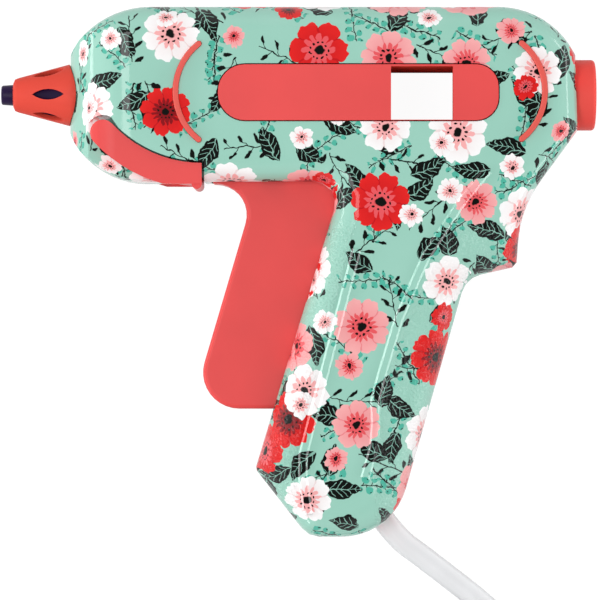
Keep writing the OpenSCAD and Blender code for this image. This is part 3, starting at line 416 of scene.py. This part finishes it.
def dress(material, *names):
    """Gives CAD pieces that stay as they are a material."""
    for name in names:
        nodes[name].data.materials.clear()
        nodes[name].data.materials.append(material)


cast = moulded("cast_aluminium", srgb(205, 207, 210), 0.5, grain=700, metallic=1)
dress(cast, "melt_chamber")
steel = moulded("spring_steel", srgb(196, 198, 203), 0.3, grain=1500, metallic=1)
dress(steel, "heater_clip", "sleeve_clip", "trigger_link_pin", "lever_pivot_pin", "grip_washer")
dress(steel, "body_screws", "clamp_screws")
brass = moulded("contact_brass", srgb(200, 182, 130), 0.35, grain=1500, metallic=1)
dress(brass, "heater_plates")
dress(moulded("heat_bush", srgb(120, 84, 56), 0.6), "nose_bush")
fibre = moulded("heat_fibre", srgb(222, 219, 208), 0.85, grain=1200, strength=0.4)
dress(fibre, "front_heat_ring", "rear_heat_ring")
dress(moulded("heater_film", srgb(204, 140, 52), 0.4), "heater_films")
dress(moulded("heater_ceramic", srgb(62, 62, 66), 0.7), "heater_chip")
nylon = moulded("nylon", srgb(238, 238, 230), 0.45)
dress(nylon, "feed_lever", "feed_carriage", "cord_clamp", "splice_caps")
dress(moulded("dark_lead", srgb(60, 60, 64), 0.4), "live_lead")
dress(cord_vinyl, "neutral_lead", "inner_cord")
spring_bm = solid_of("return_spring")
spring = make_piece("coil_spring", spring_bm, "case", steel, ["return_spring"])
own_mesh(spring)


# The nozzle and its cover: a dark coated metal nozzle, and a soft silicone cover with six slots
# pulled over it, which stops against the round of the nose.
nozzle_coat = moulded("nozzle_coat", srgb(34, 16, 58), 0.35, shine=0.15)
rounded_piece("nozzle_tip", "nozzle", 0.15 * MM, nozzle_coat)
silicone = moulded("cover_silicone", srgb(226, 72, 56), 0.55, grain=900, strength=0.2, shine=0.25)
rounded_piece("nozzle_sleeve", "nozzle_cover", 0.15 * MM, silicone, segments=2)
dress(silicone, "stick_sleeve")


# The trigger: one coral moulding that slides into the front of the grip on two pairs of ribs.
# Its front edges are rounded for the finger.
FINGER_ROUND = 1.1 * MM
FINGER_TOP = 14.7
FINGER_LOW = -24
FINGER_BACK = 0
FINGER_SIDE = 5.25
FRONT_LEAN = 0.295
FRONT_FOOT = -6
coral = moulded("coral_plastic", srgb(231, 73, 72), 0.42, grain=1400, shine=0.35)


def cut_across(bm, axis, place):
    """New edges where a plane across an axis, 0 for x or 1 for y, meets a solid."""
    way = Vector((axis == 0, axis == 1, 0))
    geom = bm.verts[:] + bm.edges[:] + bm.faces[:]
    bmesh.ops.bisect_plane(bm, geom=geom, dist=0.001 * MM, plane_co=way * place * MM, plane_no=way)


def middle_of(edge):
    """Middle of an edge in millimetres, with its height over the parting plane."""
    middle = (edge.verts[0].co + edge.verts[1].co) / 2 - Vector((0, 0, PARTING))
    return middle / MM


def at_finger(edge):
    """Edges along the front and the end of the trigger, where the finger rests."""
    x, y, z = middle_of(edge)
    ahead = x < FRONT_LEAN * y + FRONT_FOOT or y < FINGER_LOW
    return ahead and x < FINGER_BACK and y < FINGER_TOP and abs(z) > FINGER_SIDE


finger = solid_of("trigger")
cut_across(finger, 0, FINGER_BACK)
cut_across(finger, 1, FINGER_TOP)
rounded(finger, FINGER_ROUND, 5, at_finger)
make_piece("finger_trigger", finger, "trigger_set", coral, ["trigger"])


# The shells: two thin mint mouldings that close on the parting plane, printed all over with a
# repeating flower design under a clear lacquer. Screws from one side hold them together.
HALF = (0.5, 0.5, 0.5)
SEEDS = 11
INK = srgb(12, 15, 12)
VEIN = srgb(140, 190, 174)
TEAL = srgb(82, 182, 160)
WHITE = srgb(252, 252, 252)
PINK = srgb(248, 176, 176)
ROSE = srgb(233, 90, 96)
RED = srgb(230, 36, 35)


def vector(tree, operation, *values):
    return add(tree, "VectorMath", values, operation=operation)


def turned(tree, point, angle):
    return add(tree, "VectorRotate", {"Vector": point, "Angle": angle}, rotation_type="Z_AXIS")


# scatter: grid cells, each with its own random values, and the place in the cell about a strewn centre
t, i, o = node_group(
    "scatter",
    [("Point", "Vector"), ("Cell", "Float"), ("Tilt", "Float"), ("Strewn", "Float")],
    [("Place", "Vector"), ("Chance", "Color"), ("Second", "Color")],
)
scatter = t
grid = scaled(t, turned(t, i["Point"], i["Tilt"]), calc(t, "DIVIDE", 1, i["Cell"]))
grid = vector(t, "ADD", grid, HALF)
cell = vector(t, "FLOOR", grid)
chance = add(t, "TexWhiteNoise", {"Vector": cell, "W": i["Tilt"]}, out=1, noise_dimensions="4D")
second = add(t, "TexWhiteNoise", {"Vector": cell, "W": i["Cell"]}, out=1, noise_dimensions="4D")
share = vector(t, "SUBTRACT", vector(t, "FRACTION", grid), HALF)
strewn = scaled(t, vector(t, "SUBTRACT", second, HALF), i["Strewn"])
t.links.new(vector(t, "ADD", scaled(t, share, i["Cell"]), strewn), o["Place"])
t.links.new(chance, o["Chance"])
t.links.new(second, o["Second"])
PLACE = [("Under", "Color"), ("Point", "Vector"), ("Cell", "Float"), ("Tilt", "Float")]
PLACE += [("Strewn", "Float"), ("Share", "Float")]


def inside(tree, depth, soft):
    """1 where a depth is above 0, with a soft edge."""
    return calc(tree, "MINIMUM", calc(tree, "MAXIMUM", calc(tree, "DIVIDE", depth, soft), 0), 1)


def below(tree, value, limit, soft):
    """1 where a value is below a limit, with a soft edge."""
    return inside(tree, calc(tree, "SUBTRACT", limit, value), soft)


def motif_start(tree, sockets):
    """Place of a point along and across its motif, two random values, and 1 where the motif is there."""
    out = use_group(tree, scatter, {k: sockets[k] for k in ("Point", "Cell", "Tilt", "Strewn")})
    chance = parts_of(tree, out["Chance"])
    angle = calc(tree, "MULTIPLY", chance[0], math.tau)
    spot = parts_of(tree, turned(tree, out["Place"], angle))
    there = calc(tree, "LESS_THAN", parts_of(tree, out["Second"])[2], sockets["Share"])
    return spot[0], spot[1], chance[1], chance[2], there


def length_of(tree, a, b):
    squares = calc(tree, "ADD", calc(tree, "MULTIPLY", a, a), calc(tree, "MULTIPLY", b, b))
    return calc(tree, "SQRT", squares)


def pick(tree, value, *stops):
    """Colour by steps of a random value."""
    out = add(tree, "ValToRGB", (value,))
    band = out.node.color_ramp
    band.interpolation = "CONSTANT"
    while len(band.elements) < len(stops):
        band.elements.new(1)
    for element, (start, colour) in zip(band.elements, stops):
        element.position = start
        element.color = colour
    return out


def between(tree, value, low, high):
    return calc(tree, "MULTIPLY_ADD", value, calc(tree, "SUBTRACT", high, low), low)


def paint(tree, mask, under, over):
    return add(tree, "Mix", {0: mask, 6: under, 7: over}, out=2, data_type="RGBA")


# blossom: five to eight lobed petals that blush inward, a rayed heart and a ring of seeds
t, i, o = node_group("blossom", PLACE + [("Least", "Float"), ("Most", "Float")], [("Colour", "Color")])
blossom = t
x, y, size, ink, there = motif_start(t, i)
r = calc(t, "DIVIDE", length_of(t, x, y), between(t, size, i["Least"], i["Most"]))
around = calc(t, "ARCTAN2", y, x)
lot = calc(t, "FRACT", calc(t, "MULTIPLY", ink, 7))
petals = calc(t, "FLOOR", calc(t, "MULTIPLY_ADD", lot, 3, 5.5))
half_petal = calc(t, "MULTIPLY", around, calc(t, "MULTIPLY", petals, 0.5))
lobe = calc(t, "ABSOLUTE", calc(t, "COSINE", half_petal))
edge = calc(t, "MULTIPLY_ADD", calc(t, "POWER", lobe, 0.5), 0.26, 0.74)
edge = calc(t, "SUBTRACT", edge, calc(t, "MULTIPLY", calc(t, "POWER", lobe, 18), 0.07))
petal = pick(t, ink, (0, WHITE), (0.4, RED), (0.7, PINK))
shade = pick(t, ink, (0, srgb(240, 222, 222)), (0.4, srgb(196, 22, 28)), (0.7, srgb(236, 134, 140)))
heart = pick(t, ink, (0, PINK), (0.4, ROSE), (0.56, srgb(140, 18, 26)), (0.7, ROSE))
seam = calc(t, "MULTIPLY", below(t, lobe, 0.2, 0.1), below(t, 0.5, r, 0.05))
blush = calc(t, "MULTIPLY", below(t, r, 0.95, 0.6), 0.6)
colour = paint(t, calc(t, "MAXIMUM", seam, blush), petal, shade)
ray = calc(t, "ABSOLUTE", calc(t, "COSINE", calc(t, "MULTIPLY", half_petal, 2)))
inner = calc(t, "MULTIPLY_ADD", calc(t, "POWER", ray, 0.8), 0.24, 0.32)
colour = paint(t, below(t, r, inner, 0.03), colour, heart)
colour = paint(t, below(t, r, 0.17, 0.03), colour, INK)
share = calc(t, "SUBTRACT", calc(t, "FRACT", calc(t, "MULTIPLY", around, SEEDS / math.tau)), 0.5)
aside = calc(t, "MULTIPLY", share, calc(t, "MULTIPLY", r, math.tau / SEEDS))
dot = length_of(t, aside, calc(t, "SUBTRACT", r, 0.28))
colour = paint(t, below(t, dot, 0.045, 0.012), colour, INK)
mask = calc(t, "MULTIPLY", there, below(t, r, edge, 0.02))
t.links.new(paint(t, mask, i["Under"], colour), o[0])

# leaf: a dark bent blade with a pale rib and pale side veins
t, i, o = node_group("leaf", PLACE + [("Length", "Float"), ("Width", "Float")], [("Colour", "Color")])
leaf = t
u, v, size, bend, there = motif_start(t, i)
long = calc(t, "MULTIPLY", i["Length"], between(t, size, 0.8, 1.1))
along = calc(t, "ADD", calc(t, "DIVIDE", u, long), 0.5)
along = calc(t, "MINIMUM", calc(t, "MAXIMUM", along, 0), 1)
bow = calc(t, "SINE", calc(t, "MULTIPLY", along, math.pi))
arch = calc(t, "MULTIPLY", bow, between(t, bend, -0.7, 0.7))
v = calc(t, "ABSOLUTE", calc(t, "SUBTRACT", v, arch))
full = calc(t, "SINE", calc(t, "MULTIPLY", calc(t, "POWER", along, 0.78), math.pi))
half = calc(t, "MULTIPLY", full, i["Width"])
rib = below(t, v, calc(t, "MULTIPLY_ADD", along, -0.06, 0.12), 0.06)
rise = calc(t, "SUBTRACT", u, calc(t, "MULTIPLY", v, 0.9))
rise = calc(t, "FRACT", calc(t, "DIVIDE", rise, 1.1))
side = below(t, calc(t, "ABSOLUTE", calc(t, "SUBTRACT", rise, 0.5)), 0.09, 0.05)
side = calc(t, "MULTIPLY", side, below(t, v, calc(t, "MULTIPLY", half, 0.8), 0.1))
colour = paint(t, calc(t, "MAXIMUM", rib, side), INK, VEIN)
mask = calc(t, "MULTIPLY", there, below(t, v, half, 0.08))
t.links.new(paint(t, mask, i["Under"], colour), o[0])

# sprig: a thin bent stem with stalked berries or buds on both sides, smaller towards its tip
FRUIT = [("Length", "Float"), ("Berry", "Float"), ("Stretch", "Float"), ("Fruit", "Color")]
t, i, o = node_group("sprig", PLACE + FRUIT, [("Colour", "Color")])
sprig = t
u, v, _, bend, there = motif_start(t, i)
along = calc(t, "ADD", calc(t, "DIVIDE", u, i["Length"]), 0.5)
arch = calc(t, "MULTIPLY", calc(t, "MULTIPLY", along, along), between(t, bend, -1.6, 1.6))
v = calc(t, "SUBTRACT", v, arch)
within = calc(t, "MULTIPLY", inside(t, along, 0.01), below(t, along, 1, 0.01))
within = calc(t, "MULTIPLY", within, there)
stem = below(t, calc(t, "ABSOLUTE", v), 0.13, 0.06)
long = calc(t, "MULTIPLY", i["Berry"], i["Stretch"])
step = calc(t, "MULTIPLY", long, 2.5)
shift = calc(t, "MULTIPLY", calc(t, "GREATER_THAN", v, 0), 0.5)
row = calc(t, "ADD", calc(t, "DIVIDE", u, step), shift)
du = calc(t, "MULTIPLY", calc(t, "SUBTRACT", calc(t, "FRACT", row), 0.5), step)
dv = calc(t, "SUBTRACT", calc(t, "ABSOLUTE", v), calc(t, "MULTIPLY", long, 1.25))
p = calc(t, "ADD", calc(t, "MULTIPLY", du, 0.64), calc(t, "MULTIPLY", dv, 0.77))
q = calc(t, "SUBTRACT", calc(t, "MULTIPLY", dv, 0.64), calc(t, "MULTIPLY", du, 0.77))
size = calc(t, "MULTIPLY", i["Berry"], calc(t, "MULTIPLY_ADD", along, -0.3, 1))
far = length_of(t, calc(t, "DIVIDE", p, i["Stretch"]), q)
berries = calc(t, "MULTIPLY", within, below(t, far, size, 0.08))
stalk = below(t, calc(t, "ABSOLUTE", q), 0.1, 0.06)
stalk = calc(t, "MULTIPLY", stalk, calc(t, "LESS_THAN", p, 0))
stalk = calc(t, "MULTIPLY", stalk, calc(t, "LESS_THAN", dv, 0))
tip = length_of(t, calc(t, "SUBTRACT", p, calc(t, "MULTIPLY", long, 0.6)), q)
tip = calc(t, "MULTIPLY", berries, below(t, tip, 0.17, 0.08))
stems = calc(t, "MULTIPLY", within, calc(t, "MAXIMUM", stem, stalk))
colour = paint(t, stems, i["Under"], INK)
colour = paint(t, berries, colour, i["Fruit"])
t.links.new(paint(t, tip, colour, INK), o[0])

# layers of the print from the bottom up: motif, cell, tilt of the grid, strewing, share of full cells
LAYERS = [
    (sprig, 11.5, 12, 1.5, 0.85, {"Length": 8.5, "Berry": 0.68, "Stretch": 1, "Fruit": TEAL}),
    (sprig, 13.0, 50, 3.0, 0.7, {"Length": 7, "Berry": 0.62, "Stretch": 1, "Fruit": TEAL}),
    (sprig, 12.5, 68, 2.5, 0.8, {"Length": 9, "Berry": 0.44, "Stretch": 2.5, "Fruit": INK}),
    (leaf, 9.5, 33, 1.0, 0.6, {"Length": 7.5, "Width": 1.8}),
    (leaf, 11.5, 79, 2.0, 0.6, {"Length": 7, "Width": 1.7}),
    (blossom, 13.2, 5, 1.2, 0.6, {"Least": 4.4, "Most": 6.2}),
    (blossom, 14.5, 41, 3.0, 0.36, {"Least": 3.8, "Most": 5.2}),
    (blossom, 10.5, 63, 4.0, 0.45, {"Least": 2.0, "Most": 2.7}),
]
PRINT_WAVER = 1.4
printed, tree, shader = new_material("printed_mint")
sheet = add(tree, "UVMap", uv_map="print")
waver = add(tree, "TexNoise", {"Vector": sheet, "Scale": 0.55, "Detail": 2.0}, out=1)
waver = scaled(tree, vector(tree, "SUBTRACT", waver, HALF), PRINT_WAVER)
point = vector(tree, "MULTIPLY", vector(tree, "ADD", sheet, waver), (1, 1, 0))
ground = add(tree, "TexNoise", {"Vector": sheet, "Scale": 0.08, "Detail": 2.0})
colour = paint(tree, ground, srgb(150, 203, 185), srgb(162, 212, 196))
for group, cell, tilt, strewn, share, values in LAYERS:
    grid = {"Cell": cell, "Tilt": math.radians(tilt), "Strewn": strewn, "Share": share}
    colour = use_group(tree, group, {"Under": colour, "Point": point, **grid, **values})[0]
tree.links.new(colour, shader.inputs["Base Color"])
shader.inputs["Roughness"].default_value = 0.4
shader.inputs["Specular IOR Level"].default_value = 0.05
shader.inputs["Coat Weight"].default_value = 0.6
shader.inputs["Coat Roughness"].default_value = 0.05

# the grip is stippled on both sides of its smooth middle, outside the two raised lines
LEFT_SLOPE, LEFT_FOOT, LEFT_LEAST = 0.261, 9.4, 0.9
RIGHT_TOP, RIGHT_BEND, RIGHT_SLOPE, RIGHT_FOOT = 8.3, 0.00705, 0.47, 17.9
LEFT_MARGIN, RIGHT_MARGIN = 1, 1.4
STIPPLE_TOP, STIPPLE_FADE = 10, 3
x, y, _ = parts_of(tree, scaled(tree, add(tree, "TexCoord", out=3), 1 / MM))
left_line = calc(tree, "MAXIMUM", calc(tree, "MULTIPLY_ADD", y, LEFT_SLOPE, LEFT_FOOT), LEFT_LEAST)
slope = calc(tree, "MULTIPLY_ADD", y, RIGHT_BEND, RIGHT_SLOPE)
curve = calc(tree, "MULTIPLY", calc(tree, "ADD", y, RIGHT_TOP), slope)
right_line = calc(tree, "ADD", curve, RIGHT_FOOT)
ahead = calc(tree, "SUBTRACT", calc(tree, "SUBTRACT", left_line, LEFT_MARGIN), x)
behind = calc(tree, "SUBTRACT", x, calc(tree, "ADD", right_line, RIGHT_MARGIN))
grip = inside(tree, calc(tree, "MAXIMUM", ahead, behind), 0.6)
grip = calc(tree, "MULTIPLY", grip, below(tree, y, STIPPLE_TOP, STIPPLE_FADE))
stipple = add(tree, "TexNoise", {"Vector": sheet, "Scale": 2.2, "Detail": 1.5})
stipple = calc(tree, "POWER", stipple, 2)
relief = calc(tree, "MULTIPLY", stipple, calc(tree, "MULTIPLY_ADD", grip, 0.9, 0.03))
bump = add(tree, "Bump", {"Height": relief, "Strength": 0.8, "Distance": 0.35 * MM})
tree.links.new(bump, shader.inputs["Normal"])
tree.links.new(bump, shader.inputs["Coat Normal"])

# corners of the shells' outline, with the round of each
FRONT, REAR, TOP, BOTTOM, AXIS, BELLY = -40.9, 49.7, 47.3, -47.3, 31.8, 15.9
BODY_CORNERS = [
    (FRONT, AXIS - 6.9, 0.6),
    (FRONT + 4, BELLY, 14.5),
    (8, 16.2, 4),
    (-7.616, -35.2, 0.8),
    (1.872, BOTTOM, 4),
    (16.814, BOTTOM, 11.9),
    (30, -1.1, 4.5),
    (39, 0.9, 1),
    (39.7, 11.3, 22),
    (REAR + 0.2, AXIS - 6.6, 1),
    (REAR - 0.2, AXIS + 6.9, 0.6),
    (REAR - 4.7, TOP, 16),
    (FRONT + 5.7, TOP, 16.5),
    (FRONT + 0.1, AXIS + 7.1, 0.6),
]
HALF_THICK = 11.5
EDGE_ROUND = 5.0
NOSE = FRONT + HALF_THICK - 0.1
UNDERSIDE_SHIFT = (17, 9)


def inset_outline(corners, depth, arc_steps=8):
    """Outline moved inward, with its corners rounded, as an array of points."""
    count = len(corners)
    moved = []
    for k, (cx, cy, radius) in enumerate(corners):
        here = np.array((cx, cy))
        u = here - np.array(corners[k - 1][:2])
        w = np.array(corners[(k + 1) % count][:2]) - here
        u, w = u / np.linalg.norm(u), w / np.linalg.norm(w)
        left_u, left_w = np.array((-u[1], u[0])), np.array((-w[1], w[0]))
        bend = math.atan2(u[0] * w[1] - u[1] * w[0], u @ w)
        spot = here + depth * (left_u + left_w) / (1 + left_u @ left_w)
        moved.append((spot, bend, max(radius - math.copysign(depth, bend), 0.2), left_u))
    points = []
    for spot, bend, radius, left_u in moved:
        side = math.copysign(1, bend)
        u = np.array((left_u[1], -left_u[0]))
        start = spot - u * radius * math.tan(abs(bend) / 2)
        centre = start + side * radius * left_u
        for step in range(arc_steps + 1):
            c, s = math.cos(bend * step / arc_steps), math.sin(bend * step / arc_steps)
            outward = np.array((left_u[0] * c - left_u[1] * s, left_u[0] * s + left_u[1] * c))
            points.append(centre - side * radius * outward)
    return np.array(points)


rim_from = inset_outline(BODY_CORNERS, EDGE_ROUND)
rim_to = np.roll(rim_from, -1, axis=0)


def beyond_rim(points):
    """How far points lie outside the flat of the side, and which way; inside is 0."""
    along = rim_to - rim_from
    reach = points[:, None, :] - rim_from[None]
    share = np.clip((reach * along).sum(2) / np.maximum((along * along).sum(1), 1e-9), 0, 1)
    off = reach - share[..., None] * along
    span = np.linalg.norm(off, axis=2)
    best = span.argmin(1)
    rows = np.arange(len(points))
    gap = span[rows, best]
    way = off[rows, best] / np.maximum(gap, 1e-9)[:, None]
    y0, y1 = rim_from[:, 1], rim_to[:, 1]
    px, py = points[:, 0][:, None], points[:, 1][:, None]
    crossing = (y0 > py) != (y1 > py)
    slope = (rim_to[:, 0] - rim_from[:, 0]) / np.where(y1 == y0, 1e-9, y1 - y0)
    within = (crossing & (px < rim_from[:, 0] + (py - y0) * slope)).sum(1) % 2 == 1
    return np.where(within, 0, gap), way


def wall_ways(corners):
    """Outward ways of the two walls at each hollow corner of an outline."""
    ways = []
    for k, corner in enumerate(corners):
        u = Vector(corner[:2]) - Vector(corners[k - 1][:2])
        w = Vector(corners[(k + 1) % len(corners)][:2]) - Vector(corner[:2])
        if u.x * w.y - u.y * w.x < 0:
            ways.append([np.array((d.y, -d.x)) / d.length for d in (u, w)])
    return ways


hollows = wall_ways(BODY_CORNERS)


def print_sheet(spots, centres, side):
    """Flat print coordinates in millimetres of the corners of faces: the sheet is wrapped over the
    rounded edges and the nose, and is folded in the middle of hollow corners."""
    flat = spots[:, :2].copy()
    ahead = np.clip((NOSE - flat[:, 0]) / HALF_THICK, 0, 0.999)
    gap, way = beyond_rim(flat)
    _, lean = beyond_rim(centres[:, :2])
    for first, last in hollows:
        spread = first @ last + 0.0002
        close = np.stack((lean @ first, lean @ last), 1)
        between_walls = (close.min(1) > spread) & (close.max(1) < 0.9998)
        nearer = np.where((close[:, 0] > close[:, 1])[:, None], first, last)
        way = np.where(between_walls[:, None], nearer, way)
    share = np.clip(gap / EDGE_ROUND, 0, 1)
    down = HALF_THICK - EDGE_ROUND - np.abs(spots[:, 2])
    on_wall = (share > 0.9) & (down > -0.02)
    arc = EDGE_ROUND * np.arcsin(np.where(on_wall, 1, share))
    drop = np.where(on_wall, np.maximum(down, 0), 0)
    sheet = flat + way * (arc + drop - np.minimum(gap, EDGE_ROUND))[:, None]
    sheet[:, 0] -= HALF_THICK * (np.arcsin(ahead) - ahead)
    if side < 0:
        sheet = sheet * (-1, 1) + UNDERSIDE_SHIFT
    return sheet


def outside_height(points):
    """Height of the shell's outer face over the parting plane, and the share of its rounded edge."""
    gap, _ = beyond_rim(points)
    share = np.clip(gap / EDGE_ROUND, 0, 1)
    height = HALF_THICK - EDGE_ROUND + EDGE_ROUND * np.sqrt(1 - share**2)
    ahead = np.clip((NOSE - points[:, 0]) / HALF_THICK, 0, 1)
    return np.minimum(height, HALF_THICK * np.sqrt(1 - ahead**2)), share


# faces within these limits of the outer form are printed, and the rest is bare plastic, coloured dark as
# painted shade so that the gaps and seams look shadowed
FACE_OFF = 0.45
WALL_SHARE, WALL_OVER = 0.93, 0.3
CORNER_SHARE, CORNER_OFF = 0.7, 1.1
RECESS_FLOOR, RECESS_OFF, RECESS_REAR, RECESS_TOP = 8.4, 0.2, -14, 28
# painted shade: the unprinted faces, seen only in gaps, get a dark grey-green that stands in for the
# shade there
bare_plastic_painted_shade = moulded("bare_plastic_painted_shade", srgb(46, 58, 55), 0.6, shine=0.2)
for side, node in ((1, "left_shell"), (-1, "right_shell")):
    bm = solid_of(node)
    layer = bm.loops.layers.uv.new("print")
    centres = np.array([f.calc_center_median() for f in bm.faces]) / MM - (0, 0, PARTING / MM)
    loops = [loop for face in bm.faces for loop in face.loops]
    spots = np.array([loop.vert.co for loop in loops]) / MM - (0, 0, PARTING / MM)
    faces = np.repeat(np.arange(len(bm.faces)), [len(f.loops) for f in bm.faces])
    for loop, spot in zip(loops, print_sheet(spots, centres[faces], side)):
        loop[layer].uv = spot
    height, share = outside_height(centres[:, :2])
    lie = np.abs(np.abs(centres[:, 2]) - height)
    wall_top = HALF_THICK - EDGE_ROUND + WALL_OVER
    on_wall = (share > WALL_SHARE) & (np.abs(centres[:, 2]) < wall_top)
    on_wall |= (share > CORNER_SHARE) & (lie < CORNER_OFF)
    facing_out = np.array([f.normal.z for f in bm.faces]) * side > 0.9
    on_floor = (np.abs(centres[:, 2] - side * RECESS_FLOOR) < RECESS_OFF) & facing_out
    on_floor &= (centres[:, 0] < RECESS_REAR) & (centres[:, 1] < RECESS_TOP)
    for face, off, more in zip(bm.faces, lie, on_wall | on_floor):
        face.material_index = 0 if off < FACE_OFF or more else 1
    piece = make_piece(node + "_case", bm, "case", printed, [node], sharp=28)
    piece.data.materials.append(bare_plastic_painted_shade)


# The side inserts: coral plates set flush in both sides, with a square window through which the
# stick shows. A tunnel behind the window joins the two plates.
WINDOW_FRONT, WINDOW_REAR, WINDOW_HALF, TUNNEL_HALF = 15.1, 29.9, 4.9, 5.2


def on_rim(edge):
    """Edges around the face of the plate, without those of the window."""
    x, y, z = middle_of(edge)
    at_window = WINDOW_FRONT < x < WINDOW_REAR and abs(y - AXIS) < WINDOW_HALF
    return abs(z) > HALF_THICK and not at_window


# the tunnel's inner faces are matte and without shine, and their coral is painted lighter than the
# plate's to lift their shade
lightened_tunnel_coral = moulded("lightened_tunnel_coral", srgb(236, 84, 70), 0.9, shine=0)
for side in ("left", "right"):
    node = side + "_window_insert"
    bm = rounded(solid_of(node), 0.1 * MM, 2, on_rim)
    for face in bm.faces:
        x, y, _ = face.calc_center_median() / MM
        in_window = WINDOW_FRONT < x < WINDOW_REAR and abs(y - AXIS) < TUNNEL_HALF
        face.material_index = 1 if in_window and abs(face.normal.z) < 0.5 else 0
    piece = make_piece(node + "_plate", bm, "case", coral, [node])
    piece.data.materials.append(lightened_tunnel_coral)


# The arc trims: thin moulded coral ribs, one ahead of each insert and one behind it. They are
# pressed into grooves of the shells and stand out of the sides, so that the tool lies on them.
coral_trim = moulded("coral_trim", srgb(229, 90, 80), 0.45, shine=0.3)
for node in ("left_front_arc", "left_rear_arc", "right_front_arc", "right_rear_arc"):
    rounded_piece(node + "_rib", node, 0.3 * MM, coral_trim)


# The stick inlet: a round coral moulding held between the shells by its flange. The bevelled mouth
# leads the stick into the bore.
coral_ring = moulded("coral_ring", srgb(242, 79, 71), 0.5, shine=0.25)
rounded_piece("inlet_ring", "stick_inlet", 0.25 * MM, coral_ring, segments=2)


# The kickstand: two curved arms joined by a bar under the nose, clipped on two stubs, so that it
# folds down to prop up the nose. The face of each arm bends smoothly where it follows the nose.
BEND_AT = -34.724
BEND_HALF = 2.4
BEND_SLOPE = 0.55
BEND_CUTS = 8
ARM_FACE = 9.3 * MM
stand = solid_of("kickstand")
for k in range(2 - BEND_CUTS, BEND_CUTS + 1):
    cut_across(stand, 0, BEND_AT + BEND_HALF * k / BEND_CUTS)
for vert in stand.verts:
    ahead = BEND_AT - vert.co.x / MM
    height = vert.co.z - PARTING
    if abs(ahead) < BEND_HALF and abs(height) > ARM_FACE:
        sink = BEND_SLOPE * ((ahead + BEND_HALF) ** 2 / (4 * BEND_HALF) - max(ahead, 0))
        vert.co.z -= math.copysign(sink * MM, height)
rounded(stand, 0.15 * MM, 2, least=40)
make_piece("folding_stand", stand, "kickstand", coral, ["kickstand"])
